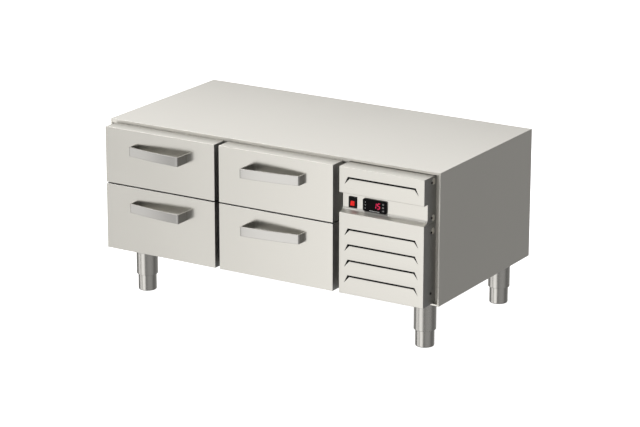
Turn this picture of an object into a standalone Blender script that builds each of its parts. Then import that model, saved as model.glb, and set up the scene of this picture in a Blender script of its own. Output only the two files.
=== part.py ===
"""Under counter fridge: four refrigerated drawers beside a machine compartment, on four legs.

Metres, +Z up. The origin is on the floor under the middle of the whole fridge, handles included.
The drawer fronts face -Y, and the machine compartment is at the +X end.
"""
import math

import bmesh
import bpy
from mathutils import Matrix, Vector

# Driving dimensions
WIDTH = 1.200
CARCASS_DEPTH = 0.591
HEIGHT = 0.576
CARCASS_BOTTOM = 0.158
FRONT_PROUD = 0.059  # the fronts stand this far in front of the carcass
FRONT_RECESS = 0.013  # the front frame lies this far behind the carcass rim
HANDLE_REACH = 0.047  # the deep end of a handle
SHEET = 0.0012
GAP = 0.0003  # between touching pieces
CLEAR = 0.001  # between sliding members
OVERLAP = 0.001  # how far joined shapes run into each other

# The whole depth is centred on Y = 0, and Y = FRONT_Y is the plane of the carcass rim.
TOTAL_DEPTH = CARCASS_DEPTH + FRONT_PROUD + HANDLE_REACH
FRONT_Y = FRONT_PROUD + HANDLE_REACH - TOTAL_DEPTH / 2
BACK_Y = FRONT_Y + CARCASS_DEPTH
FACE_Y = FRONT_Y - FRONT_PROUD
FRAME_Y = FRONT_Y + FRONT_RECESS

# Carcass rim around the fronts
SIDE_RIM = 0.0055
TOP_RIM = 0.009
BASE_RIM = 0.0066

# Fronts: two drawer columns, and the machine compartment's covers
FRONT_TOP = 0.5655
FRONT_BOTTOM = 0.165
DRAWER_WIDTH = 0.4128
COLUMN_X = {"left": -0.3728, "right": 0.0566}
ROWS = {"upper": (0.3825, FRONT_TOP), "lower": (FRONT_BOTTOM, 0.380)}
COVER_X = (0.2849, 0.5792)
FRONT_THICKNESS = 0.055
FOAM_HOLE = 0.006  # radius of the hole that a hollow front is filled through

# Openings that the drawers run in
BAY_WIDTH = 0.376
BAY_Z = {"upper": (0.396, 0.536), "lower": (0.198, 0.366)}
CHAMBER_BACK = BACK_Y - 0.040
BULKHEAD_X = 0.284
GASKET_WIDTH = 0.012

# Drawer boxes and telescopic slides
BOX_WIDTH = 0.346
BOX_LENGTH = 0.536
BOX_HEIGHT = {"upper": 0.104, "lower": 0.130}
BOX_LIFT = 0.008
BOX_SHEET = 0.0015
SLIDE_HEIGHT = 0.046
SLIDE_LIFT = 0.030  # the slide's middle above the box's floor
SLIDE_SHEET = 0.0015
CHANNEL_DEPTH = 0.0115
MEMBER_DEPTH = 0.0095
CHANNEL_START = FRAME_Y + 0.003
CHANNEL_LENGTH = 0.515
MEMBER_START = 0.008  # behind the front frame
MEMBER_LENGTH = 0.480
BOX_RAIL = (0.010, 0.035)  # section of the rail on a drawer box
RAIL_LENGTH = 0.500
RUNNER_SLOTS = 4  # air slots in a runner frame, between its channels
RUNNER_SLOT_LENGTH = 0.090
RUNNER_SLOT_PITCH = 0.120
RUNNER_SLOT_START = 0.045
RUNNER_SLOT_Z = (0.285, 0.395)

# Handles: flat bar, one end deep and the other shallow
HANDLE_WIDTH = 0.202
HANDLE_SHALLOW = 0.023
HANDLE_BAR = (0.004, 0.030)
HANDLE_DROP = 0.047
HANDLE_BOW = 0.004
HANDLE_BEND = 0.007

# Machine covers
CONTROL_TOP = 0.48375
CONTROL_BOTTOM = 0.430
LEDGE_BOTTOM = 0.4215
CONTROL_RECESS = 0.0215
LOUVRE_HALF = 0.117
LOUVRE_SLIT = 0.003
GRILLE_LOUVRES = (0.371, 0.3215, 0.272, 0.2225)
COVER_LOUVRES = (0.533,)
THERMOSTAT_X = 0.399
SWITCH_X = 0.321
CONTROLS_Z = 0.4525
THERMOSTAT = (0.082, 0.039)
THERMOSTAT_BODY = (0.071, 0.029, 0.050)
BEZEL_DEPTH = 0.006
WINDOW = (0.046, 0.026)
WINDOW_DEPTH = 0.002
WINDOW_X = -0.002
KEY = (0.008, 0.006)
KEY_DEPTH = 0.0038
KEY_PROUD = 0.0009
KEY_POCKET = 0.004
KEY_X = 0.031
KEY_PITCH = 0.0105
SWITCH = (0.028, 0.035)
SWITCH_BEZEL = 0.003
SWITCH_BODY = (0.022, 0.029, 0.028)
SWITCH_MOUTH = 0.016
ROCKER = (0.0135, 0.0225)
ROCKER_TILT = math.radians(9)

# Legs and feet
LEG_X = 0.516
LEG_Y = (FRONT_Y + 0.068, FRONT_Y + 0.550)
LEG_RADIUS = 0.035
FOOT_RADIUS = 0.030
FOOT_HEIGHT = 0.054
STEM_RADIUS = 0.010
STEM_LENGTH = 0.058

# Machine compartment
CONDENSER_X = (0.302, 0.570)
CONDENSER_Z = (0.176, 0.404)
CONDENSER_Y = (FRONT_Y + 0.030, FRONT_Y + 0.080)
CONDENSER_FINS = 14
CONDENSER_FAN_RADIUS = 0.090
SHROUD_SHEET = 0.0015
SHROUD_RING = CONDENSER_FAN_RADIUS + 0.004
MOTOR_BAR_Y = 0.040  # the motor's bars, behind the shroud's sheet
MOTOR_BAR_ANGLES = (40, 140)
MOTOR_RADIUS = 0.034
MOTOR_LENGTH = 0.050
BLADE_SHEET = 0.0024
COMPRESSOR_PLACE = (0.450, FRONT_Y + 0.290)
COMPRESSOR_RADIUS = 0.072
COMPRESSOR_FEET = (0.095, 0.055, 0.020)  # half length, half depth, height
TERMINAL_BOX = (0.050, 0.098, 0.025, 0.060, 0.120)  # near, far, half width, low, high
RECESS_X = (0.2446, 0.384)
RECESS_Y = (FRONT_Y + 0.402, FRONT_Y + 0.551)
RECESS_Z = (0.274, 0.492)
RECESS_WALL = 0.020
EVAPORATOR_X = (0.322, 0.372)
EVAPORATOR_FINS = 9
EVAPORATOR_FAN_RADIUS = 0.062
EVAPORATOR_FAN_GAP = 0.044  # from the fan's middle to its bracket
EVAPORATOR_BRACKET = 0.0015
MACHINE_WINDOW_X = (0.298, 0.574)  # its top and bottom are in line with the drawers' openings
BACK_SLOT_X = (0.430, 0.570)
BACK_SLOT_Z = (0.200, 0.218, 0.236, 0.254, 0.272)
BACK_SLOT_HEIGHT = 0.006
GLAND_PLACE = (0.420, BACK_Y - 0.050, CARCASS_BOTTOM)
GLAND_HOLE = 0.011
ROUND_STEPS = 20
FAR = 0.01  # a cutter's reach beyond what it cuts


def material(name, colour, roughness, metallic):
    """A Principled material of one colour."""
    made = bpy.data.materials.new(name)
    made.use_nodes = True
    shader = made.node_tree.nodes["Principled BSDF"]
    shader.inputs["Base Color"].default_value = (*colour, 1.0)
    shader.inputs["Roughness"].default_value = roughness
    shader.inputs["Metallic"].default_value = metallic
    return made


def block(low, high):
    """A cuboid between two corners."""
    shape = bmesh.new()
    bmesh.ops.create_cube(shape, size=1.0)
    size = Vector(high) - Vector(low)
    middle = (Vector(high) + Vector(low)) / 2
    bmesh.ops.transform(shape, matrix=Matrix.LocRotScale(middle, None, size), verts=shape.verts)
    return shape


def prism(outline, axis, low, high):
    """A closed outline pushed along an axis. The outline is in (y, z), (x, z) or (x, y)."""

    def place(point, along):
        if axis == "X":
            return (along, point[0], point[1])
        if axis == "Y":
            return (point[0], along, point[1])
        return (point[0], point[1], along)

    shape = bmesh.new()
    near = [shape.verts.new(place(point, low)) for point in outline]
    far = [shape.verts.new(place(point, high)) for point in outline]
    shape.faces.new(near)
    shape.faces.new(far)
    for i, corner in enumerate(near):
        j = (i + 1) % len(near)
        shape.faces.new((corner, near[j], far[j], far[i]))
    bmesh.ops.recalc_face_normals(shape, faces=shape.faces)
    return shape


def offset_path(path, distance):
    """A path moved to its left, with its corners mitred."""
    points = [Vector(point) for point in path]
    normals = []
    for start, end in zip(points, points[1:]):
        along = (end - start).normalized()
        normals.append(Vector((-along.y, along.x)))
    moved = [points[0] + normals[0] * distance]
    for i in range(1, len(points) - 1):
        mitre = (normals[i - 1] + normals[i]).normalized()
        moved.append(points[i] + mitre * (distance / mitre.dot(normals[i])))
    moved.append(points[-1] + normals[-1] * distance)
    return moved


def folded_sheet(path, thickness):
    """The outline of a sheet bent along a path, with its thickness on the path's left."""
    return [*path, *reversed(offset_path(path, thickness))]


def turned(profile, steps=ROUND_STEPS):
    """A profile of (radius, height) points turned about Z. A ring if it stays off the axis."""
    shape = bmesh.new()
    rings = []
    for radius, height in profile:
        if radius == 0:
            rings.append([shape.verts.new((0, 0, height))] * steps)
            continue
        turns = [2 * math.pi * i / steps for i in range(steps)]
        ring = [shape.verts.new((radius * math.cos(t), radius * math.sin(t), height)) for t in turns]
        rings.append(ring)
    on_axis = profile[0][0] == 0
    pairs = list(zip(rings, rings[1:]))
    if not on_axis:
        pairs.append((rings[-1], rings[0]))
    for lower, upper in pairs:
        for i in range(steps):
            j = (i + 1) % steps
            corners = [lower[i], lower[j], upper[j], upper[i]]
            shape.faces.new(list(dict.fromkeys(corners)))
    bmesh.ops.recalc_face_normals(shape, faces=shape.faces)
    return shape


def rectangular_ring(outer, inner, low_y, high_y):
    """A flat frame in XZ, given as (left, bottom, right, top) outside and inside."""
    shape = bmesh.new()

    def loop(box, y):
        left, bottom, right, top = box
        corners = ((left, bottom), (right, bottom), (right, top), (left, top))
        return [shape.verts.new((x, y, z)) for x, z in corners]

    loops = [loop(outer, low_y), loop(inner, low_y), loop(inner, high_y), loop(outer, high_y)]
    for first, second in zip(loops, loops[1:] + loops[:1]):
        for i in range(4):
            j = (i + 1) % 4
            shape.faces.new((first[i], first[j], second[j], second[i]))
    bmesh.ops.recalc_face_normals(shape, faces=shape.faces)
    return shape


def turn_shape(shape, angle, axis, move=(0, 0, 0)):
    """Rotate a shape about an axis through its origin, then move it."""
    matrix = Matrix.Translation(move) @ Matrix.Rotation(angle, 4, axis)
    bmesh.ops.transform(shape, matrix=matrix, verts=shape.verts)
    return shape


def mesh_from(name, shape, smooth=False):
    mesh = bpy.data.meshes.new(name)
    shape.to_mesh(mesh)
    shape.free()
    if smooth:
        mesh.shade_smooth()
        mesh.set_sharp_from_angle(angle=math.radians(35))
    return mesh


def add(name, shape, finish, place=(0, 0, 0), parent=None, smooth=False):
    """A named piece, made from a bmesh or sharing the mesh of an earlier piece."""
    mesh = shape if isinstance(shape, bpy.types.Mesh) else mesh_from(name, shape, smooth)
    if not mesh.materials:
        mesh.materials.append(finish)
    piece = bpy.data.objects.new(name, mesh)
    piece.location = place
    piece.parent = parent
    bpy.context.scene.collection.objects.link(piece)
    return piece


def axis_empty(name, place, parent=None):
    """An empty that carries a moving group."""
    empty = bpy.data.objects.new(name, None)
    empty.location = place
    empty.parent = parent
    bpy.context.scene.collection.objects.link(empty)
    return empty


def combine(piece, shapes, operation):
    """Cut shapes from a piece, or join them to it. The shapes are in the piece's own space."""
    for number, shape in enumerate(shapes):
        tool = add(f"{piece.name}_{operation.lower()}_{number}", shape, piece.data.materials[0])
        tool.parent = piece
        tool.hide_render = True
        tool.display_type = "WIRE"
        step = piece.modifiers.new(tool.name, "BOOLEAN")
        step.object = tool
        step.operation = operation
        step.solver = "EXACT"


def cut(piece, *shapes):
    combine(piece, shapes, "DIFFERENCE")


def join(piece, *shapes):
    combine(piece, shapes, "UNION")


def soften(piece, width, segments=1):
    bevel = piece.modifiers.new("soft_edges", "BEVEL")
    bevel.width = width
    bevel.segments = segments
    bevel.limit_method = "ANGLE"
    bevel.angle_limit = math.radians(40)


def make_carcass(steel, zinc, foam):
    """Worktop, side panels, base and back: folded sheet, open at the front."""
    inner_half = WIDTH / 2 - SHEET - GAP
    top_path = [
        (BACK_Y, HEIGHT),
        (FRONT_Y, HEIGHT),
        (FRONT_Y, HEIGHT - TOP_RIM),
        (FRAME_Y, HEIGHT - TOP_RIM),
    ]
    worktop = add("worktop", prism(folded_sheet(top_path, SHEET), "X", -WIDTH / 2, WIDTH / 2), steel)

    panel_top = HEIGHT - SHEET - GAP
    rim_inside = WIDTH / 2 - SIDE_RIM - GAP
    lip_ends = []
    for side, sign in (("left", -1), ("right", 1)):
        outer = sign * WIDTH / 2
        rim = outer - sign * SIDE_RIM
        path = [(outer, BACK_Y), (outer, FRONT_Y), (rim, FRONT_Y), (rim, FRAME_Y)]
        sheet = folded_sheet(path, -sign * SHEET)
        add(f"side_panel_{side}", prism(sheet, "Z", CARCASS_BOTTOM, panel_top), steel)
        # The worktop's lip ends against the side panels' rims.
        near, far = sorted((sign * rim_inside, outer + sign * FAR))
        lip_low = HEIGHT - TOP_RIM - FAR
        lip_ends.append(
            block((near, FRONT_Y - FAR, lip_low), (far, FRAME_Y + FAR, HEIGHT - SHEET))
        )
    cut(worktop, *lip_ends)

    rim_top = CARCASS_BOTTOM + BASE_RIM
    base_path = [
        (FRAME_Y, rim_top),
        (FRONT_Y, rim_top),
        (FRONT_Y, CARCASS_BOTTOM),
        (BACK_Y, CARCASS_BOTTOM),
    ]
    base_sheet = folded_sheet(base_path, SHEET)
    base = add("base_panel", prism(base_sheet, "X", -rim_inside, rim_inside), steel)
    gland_hole = turned([(0, -FAR), (GLAND_HOLE, -FAR), (GLAND_HOLE, FAR), (0, FAR)], 16)
    bmesh.ops.translate(gland_hole, vec=GLAND_PLACE, verts=gland_hole.verts)
    cut(base, gland_hole)

    back_low = CARCASS_BOTTOM + SHEET + GAP
    back_high = HEIGHT - SHEET - GAP
    back = add(
        "back_panel",
        block((-inner_half, BACK_Y - SHEET, back_low), (inner_half, BACK_Y, back_high)),
        zinc,
    )
    slots = []
    for z in BACK_SLOT_Z:
        low = (BACK_SLOT_X[0], BACK_Y - FAR, z)
        high = (BACK_SLOT_X[1], BACK_Y + FAR, z + BACK_SLOT_HEIGHT)
        slots.append(block(low, high))
    cut(back, *slots)

    chamber = add(
        "cold_chamber",
        block(
            (-inner_half, FRAME_Y + SHEET + GAP, back_low),
            (BULKHEAD_X, BACK_Y - SHEET - GAP, back_high),
        ),
        foam,
    )
    # The evaporator's recess stands out of the bulkhead, into the machine compartment.
    bump = block(
        (BULKHEAD_X - FAR, RECESS_Y[0] - RECESS_WALL, RECESS_Z[0] - RECESS_WALL),
        (RECESS_X[1] + RECESS_WALL, BACK_Y - SHEET - GAP, RECESS_Z[1] + RECESS_WALL),
    )
    join(chamber, bump)
    left = COLUMN_X["left"] - BAY_WIDTH / 2
    right = COLUMN_X["right"] + BAY_WIDTH / 2
    cavity = block((left, FRONT_Y, BAY_Z["lower"][0]), (right, CHAMBER_BACK, BAY_Z["upper"][1]))
    recess = block(
        (right - FAR, RECESS_Y[0], RECESS_Z[0]),
        (RECESS_X[1], RECESS_Y[1], RECESS_Z[1]),
    )
    cut(chamber, cavity, recess)


def make_front_frame(steel):
    """The recessed face that the gaskets close on, with its middle post and cross rails."""
    half = WIDTH / 2 - SHEET - GAP
    low = CARCASS_BOTTOM + SHEET + GAP
    high = HEIGHT - SHEET - GAP
    frame = add(
        "front_frame",
        block((-half, FRAME_Y + GAP, low), (half, FRAME_Y + SHEET, high)),
        steel,
    )
    left, right = MACHINE_WINDOW_X
    openings = [(left, BAY_Z["lower"][0], right, BAY_Z["upper"][1])]
    for middle in COLUMN_X.values():
        for low_z, high_z in BAY_Z.values():
            openings.append((middle - BAY_WIDTH / 2, low_z, middle + BAY_WIDTH / 2, high_z))
    windows = []
    for left, bottom, right, top in openings:
        windows.append(block((left, FRAME_Y - FAR, bottom), (right, FRAME_Y + FAR, top)))
    cut(frame, *windows)


def which_side(column, face):
    """The name of the side of a column whose channels open to face, +1 for +X."""
    return "outer" if (column == "left") == (face > 0) else "inner"


def runner_frame_plate(face):
    """The plate of a runner frame. face is the side that its channels open to."""
    low = BAY_Z["lower"][0] + GAP
    high = BAY_Z["upper"][1] - GAP
    end = CHAMBER_BACK - GAP
    near, far = sorted((0, face * SLIDE_SHEET))
    return block((near, CHANNEL_START, low), (far, end, high))


def slide_middle(row):
    return BAY_Z[row][0] + BOX_LIFT + SLIDE_LIFT


def make_runner_frames(zinc):
    """Four plates beside the drawers. Each holds an upper and a lower slide channel."""
    half = BAY_WIDTH / 2 - GAP
    for column, middle in COLUMN_X.items():
        for face in (1, -1):
            x = middle - face * half
            frame = add(
                f"runner_frame_{column}_{which_side(column, face)}",
                runner_frame_plate(face),
                zinc,
                place=(x, 0, 0),
            )
            channels = []
            for row in BAY_Z:
                z = slide_middle(row)
                reach = face * (SLIDE_SHEET + CHANNEL_DEPTH)
                path = [
                    (reach, z + face * SLIDE_HEIGHT / 2),
                    (0, z + face * SLIDE_HEIGHT / 2),
                    (0, z - face * SLIDE_HEIGHT / 2),
                    (reach, z - face * SLIDE_HEIGHT / 2),
                ]
                sheet = folded_sheet(path, SLIDE_SHEET)
                start = CHANNEL_START + OVERLAP
                channels.append(prism(sheet, "Y", start, CHANNEL_START + CHANNEL_LENGTH))
            slots = []
            low, high = RUNNER_SLOT_Z
            for number in range(RUNNER_SLOTS):
                y = CHANNEL_START + RUNNER_SLOT_START + number * RUNNER_SLOT_PITCH
                slots.append(block((-FAR, y, low), (FAR, y + RUNNER_SLOT_LENGTH, high)))
            join(frame, *channels)
            cut(frame, *slots)


def make_slide_members(zinc):
    """The middle members of the telescopic slides, two beside each drawer."""
    half = BAY_WIDTH / 2 - GAP - SLIDE_SHEET - CLEAR / 2
    height = SLIDE_HEIGHT / 2 - SLIDE_SHEET - CLEAR
    for column, middle in COLUMN_X.items():
        for row in BAY_Z:
            carrier = axis_empty(f"slide_axis_{row}_{column}", (middle, FRAME_Y, slide_middle(row)))
            for face in (1, -1):
                web = -face * half
                reach = web + face * MEMBER_DEPTH
                path = [(reach, face * height), (web, face * height)]
                path += [(web, -face * height), (reach, -face * height)]
                sheet = folded_sheet(path, SLIDE_SHEET)
                add(
                    f"slide_member_{row}_{column}_{which_side(column, face)}",
                    prism(sheet, "Y", MEMBER_START, MEMBER_START + MEMBER_LENGTH),
                    zinc,
                    parent=carrier,
                )


def handle_path(deep_side):
    """The middle line of a handle in plan, from the left end to the right end."""
    bar = HANDLE_BAR[0]
    half = HANDLE_WIDTH / 2 - bar
    left = HANDLE_SHALLOW - bar - GAP
    right = HANDLE_REACH - bar - GAP
    corner_steps = 3
    points = [(-half, 0)]
    for i in range(corner_steps + 1):
        turn = math.pi / 2 * i / corner_steps
        x = -half + HANDLE_BEND * (1 - math.cos(turn))
        points.append((x, -left + HANDLE_BEND * (1 - math.sin(turn))))
    bow_steps = 8
    span = half - HANDLE_BEND
    for i in range(1, bow_steps):
        t = i / bow_steps
        depth = left + (right - left) * t + HANDLE_BOW * 4 * t * (1 - t)
        points.append((-span + 2 * span * t, -depth))
    for i in range(corner_steps + 1):
        turn = math.pi / 2 * i / corner_steps
        x = half - HANDLE_BEND * (1 - math.sin(turn))
        points.append((x, -right + HANDLE_BEND * (1 - math.cos(turn))))
    points.append((half, 0))
    if deep_side > 0:
        return points
    return [(-x, y) for x, y in reversed(points)]


def make_drawer(row, column, steel, inner_steel, rubber):
    """A drawer: hollow foamed front, gasket, handle and box, carried on one empty."""
    low_z, high_z = ROWS[row]
    bay_low, bay_high = BAY_Z[row]
    name = f"{row}_{column}"
    # The empty is at the middle of the front's lower edge, in the plane of the carcass rim.
    carrier = axis_empty(f"drawer_axis_{name}", (COLUMN_X[column], FRONT_Y, low_z))
    half = DRAWER_WIDTH / 2
    height = high_z - low_z
    back = FRONT_THICKNESS - FRONT_PROUD

    front = add(
        f"drawer_front_{name}",
        block((-half, -FRONT_PROUD, 0), (half, back, height)),
        steel,
        parent=carrier,
    )
    hollow = block(
        (-half + SHEET, -FRONT_PROUD + SHEET, SHEET),
        (half - SHEET, back - SHEET, height - SHEET),
    )
    # A round hole in the middle of the back, where the foam goes in.
    filler = turned([(0, 0), (FOAM_HOLE, 0), (FOAM_HOLE, FAR), (0, FAR)], 12)
    turn_shape(filler, math.pi / 2, "X", (0, back + FAR / 2, height / 2))
    soften(front, 0.0015)
    cut(front, hollow, filler)

    bay_half = BAY_WIDTH / 2
    frame_low = bay_low - low_z
    frame_high = bay_high - low_z
    inner = (-bay_half - GAP, frame_low - GAP, bay_half + GAP, frame_high + GAP)
    outer = (
        inner[0] - GASKET_WIDTH,
        inner[1] - GASKET_WIDTH,
        inner[2] + GASKET_WIDTH,
        inner[3] + GASKET_WIDTH,
    )
    gasket = rectangular_ring(outer, inner, back + GAP, FRONT_RECESS - GAP)
    add(f"drawer_gasket_{name}", gasket, rubber, parent=carrier)

    deep_side = 1 if column == "left" else -1
    outline = folded_sheet(handle_path(deep_side), -HANDLE_BAR[0])
    bar_high = height - HANDLE_DROP
    bar = prism(outline, "Z", bar_high - HANDLE_BAR[1], bar_high)
    place = (0, -FRONT_PROUD - GAP, 0)
    add(f"drawer_handle_{name}", bar, steel, place=place, parent=carrier)

    floor = frame_low + BOX_LIFT
    box_start = back + GAP
    box_half = BOX_WIDTH / 2
    box = add(
        f"drawer_box_{name}",
        block(
            (-box_half, box_start, floor),
            (box_half, box_start + BOX_LENGTH, floor + BOX_HEIGHT[row]),
        ),
        inner_steel,
        parent=carrier,
    )
    above = floor + BOX_HEIGHT[row] + FAR
    room = block(
        (-box_half + BOX_SHEET, box_start + BOX_SHEET, floor + BOX_SHEET),
        (box_half - BOX_SHEET, box_start + BOX_LENGTH - BOX_SHEET, above),
    )
    cut(box, room)
    rails = []
    middle = floor + SLIDE_LIFT
    for sign in (-1, 1):
        xs = sorted((sign * (box_half - BOX_SHEET / 2), sign * (box_half + BOX_RAIL[0])))
        rails.append(
            block(
                (xs[0], FRONT_RECESS, middle - BOX_RAIL[1] / 2),
                (xs[1], FRONT_RECESS + RAIL_LENGTH, middle + BOX_RAIL[1] / 2),
            )
        )
    join(box, *rails)


def louvre_slit(z):
    """A louvre's slit, as a cutter through the front of a cover."""
    middle = sum(COVER_X) / 2
    return block(
        (middle - LOUVRE_HALF, FACE_Y - FAR, z - LOUVRE_SLIT / 2),
        (middle + LOUVRE_HALF, FACE_Y + FAR, z + LOUVRE_SLIT / 2),
    )


def make_machine_covers(steel):
    """The two covers of the machine compartment, as folded trays that are open at the back."""
    strip_y = FACE_Y + CONTROL_RECESS
    back = FRAME_Y - GAP
    outline = [
        (back, FRONT_TOP),
        (FACE_Y, FRONT_TOP),
        (FACE_Y, CONTROL_TOP),
        (strip_y, CONTROL_TOP),
        (strip_y, CONTROL_BOTTOM),
        (FACE_Y, LEDGE_BOTTOM),
        (back, LEDGE_BOTTOM),
    ]
    cover = add("control_cover", prism(outline, "X", *COVER_X), steel)
    open_back = back + FAR
    # The hollow leaves one sheet of thickness inside the outline, and opens at the back.
    hollow_path = [(open_back, FRONT_TOP), *outline[1:-1], (open_back, LEDGE_BOTTOM)]
    hollow = prism(offset_path(hollow_path, SHEET), "X", COVER_X[0] + SHEET, COVER_X[1] - SHEET)
    cut(cover, hollow)
    holes = []
    for x, body in ((THERMOSTAT_X, THERMOSTAT_BODY), (SWITCH_X, SWITCH_BODY)):
        half_width = body[0] / 2 + GAP
        half_height = body[1] / 2 + GAP
        holes.append(
            block(
                (x - half_width, strip_y - FAR, CONTROLS_Z - half_height),
                (x + half_width, strip_y + FAR, CONTROLS_Z + half_height),
            )
        )
    cut(cover, *holes, *[louvre_slit(z) for z in COVER_LOUVRES])

    top = LEDGE_BOTTOM - GAP
    grille = add(
        "lower_grille",
        block((COVER_X[0], FACE_Y, FRONT_BOTTOM), (COVER_X[1], back, top)),
        steel,
    )
    hollow = block(
        (COVER_X[0] + SHEET, FACE_Y + SHEET, FRONT_BOTTOM + SHEET),
        (COVER_X[1] - SHEET, open_back, top - SHEET),
    )
    cut(grille, hollow, *[louvre_slit(z) for z in GRILLE_LOUVRES])


def make_thermostat(black, dark_glass, key_grey):
    """The digital thermostat: housing, display window and three keys that press in."""
    strip_y = FACE_Y + CONTROL_RECESS
    origin = axis_empty("thermostat_place", (THERMOSTAT_X, strip_y - GAP, CONTROLS_Z))
    width, height = THERMOSTAT
    body_width, body_height, body_depth = THERMOSTAT_BODY
    face = -BEZEL_DEPTH
    housing = add(
        "thermostat_housing",
        block((-width / 2, face, -height / 2), (width / 2, 0, height / 2)),
        black,
        parent=origin,
    )
    soften(housing, 0.0015)
    body = block(
        (-body_width / 2, -OVERLAP, -body_height / 2),
        (body_width / 2, body_depth, body_height / 2),
    )
    join(housing, body)
    window_low = (WINDOW_X - WINDOW[0] / 2, -WINDOW[1] / 2)
    window_high = (WINDOW_X + WINDOW[0] / 2, WINDOW[1] / 2)
    pockets = [
        block(
            (window_low[0] - GAP, face - OVERLAP, window_low[1] - GAP),
            (window_high[0] + GAP, face + WINDOW_DEPTH + GAP, window_high[1] + GAP),
        )
    ]
    key_places = []
    for name, step in (("up", 1), ("set", 0), ("down", -1)):
        key_places.append((name, step * KEY_PITCH))
    for _, z in key_places:
        pockets.append(
            block(
                (KEY_X - KEY[0] / 2 - GAP, face - OVERLAP, z - KEY[1] / 2 - GAP),
                (KEY_X + KEY[0] / 2 + GAP, face + KEY_POCKET, z + KEY[1] / 2 + GAP),
            )
        )
    cut(housing, *pockets)
    window = block(
        (window_low[0], face, window_low[1]),
        (window_high[0], face + WINDOW_DEPTH, window_high[1]),
    )
    add("display_window", window, dark_glass, parent=origin)
    for name, z in key_places:
        key = add(
            f"key_{name}",
            block((-KEY[0] / 2, 0, -KEY[1] / 2), (KEY[0] / 2, KEY_DEPTH, KEY[1] / 2)),
            key_grey,
            place=(KEY_X, face - KEY_PROUD, z),
            parent=origin,
        )
        soften(key, 0.0008)


def make_switch(black, red):
    """The rocker switch: housing, and the lit rocker on its pivot."""
    strip_y = FACE_Y + CONTROL_RECESS
    origin = axis_empty("switch_place", (SWITCH_X, strip_y - GAP, CONTROLS_Z))
    width, height = SWITCH
    housing = add(
        "switch_housing",
        block((-width / 2, -SWITCH_BEZEL, -height / 2), (width / 2, 0, height / 2)),
        black,
        parent=origin,
    )
    soften(housing, 0.001)
    body_width, body_height, body_depth = SWITCH_BODY
    body = block(
        (-body_width / 2, -OVERLAP, -body_height / 2),
        (body_width / 2, body_depth, body_height / 2),
    )
    join(housing, body)
    mouth = (ROCKER[0] / 2 + 0.0005, ROCKER[1] / 2 + 0.0008)
    cut(housing, block((-mouth[0], -FAR, -mouth[1]), (mouth[0], SWITCH_MOUTH, mouth[1])))
    # The rocker turns about X. Its two faces meet at an angle, and the lower one stands proud.
    half = ROCKER[1] / 2
    reach = half * math.tan(ROCKER_TILT)
    # The profile is (depth behind the cover's face, height above the pivot).
    profile = [
        (-0.0015 - 0.5 * reach, 0),
        (-0.001 - 2.4 * reach, -half * 0.96),
        (0.004, -half * 0.80),
        (0.007, 0),
        (0.004, half * 0.80),
        (-0.001, half * 0.96),
    ]
    add(
        "switch_rocker",
        prism(profile, "X", -ROCKER[0] / 2, ROCKER[0] / 2),
        red,
        parent=origin,
    )


def make_legs(steel, plastic):
    """Four tube legs, each with an adjustable foot that screws out of it."""
    bush = 0.006
    hole = STEM_RADIUS + CLEAR / 2
    wall = 0.0015
    top = CARCASS_BOTTOM - GAP
    low = FOOT_HEIGHT + GAP
    leg_profile = [
        (hole, low),
        (LEG_RADIUS - 0.001, low),
        (LEG_RADIUS, low + 0.001),
        (LEG_RADIUS, top),
        (hole, top),
        (hole, top - 0.002),
        (LEG_RADIUS - wall, top - 0.002),
        (LEG_RADIUS - wall, low + bush),
        (hole, low + bush),
    ]
    foot_profile = [
        (0, 0),
        (FOOT_RADIUS - 0.003, 0),
        (FOOT_RADIUS, 0.003),
        (FOOT_RADIUS, FOOT_HEIGHT - 0.002),
        (FOOT_RADIUS - 0.002, FOOT_HEIGHT),
        (STEM_RADIUS, FOOT_HEIGHT),
        (STEM_RADIUS, FOOT_HEIGHT + STEM_LENGTH),
        (0, FOOT_HEIGHT + STEM_LENGTH),
    ]
    leg_mesh = mesh_from("leg", turned(leg_profile), smooth=True)
    foot_mesh = mesh_from("foot", turned(foot_profile), smooth=True)
    for side, x in (("left", -LEG_X), ("right", LEG_X)):
        for end, y in (("front", LEG_Y[0]), ("rear", LEG_Y[1])):
            add(f"leg_{end}_{side}", leg_mesh, steel, place=(x, y, 0))
            add(f"foot_{end}_{side}", foot_mesh, plastic, place=(x, y, 0))


def finned_block(x_range, y_range, z_range, fins):
    """A coil's fin pack: grooves run down its front and back between the fins."""
    groove = 0.006
    pitch = (x_range[1] - x_range[0]) / (2 * fins + 1)
    near, far = y_range
    front = []
    back = []
    for i in range(fins):
        left = x_range[0] + pitch * (2 * i + 1)
        right = left + pitch
        front += [(left, near), (left, near + groove), (right, near + groove), (right, near)]
        back += [(left, far), (left, far - groove), (right, far - groove), (right, far)]
    outline = [(x_range[0], near), *front, (x_range[1], near)]
    outline += [(x_range[1], far), *reversed(back), (x_range[0], far)]
    return prism(outline, "Z", *z_range)


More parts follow.
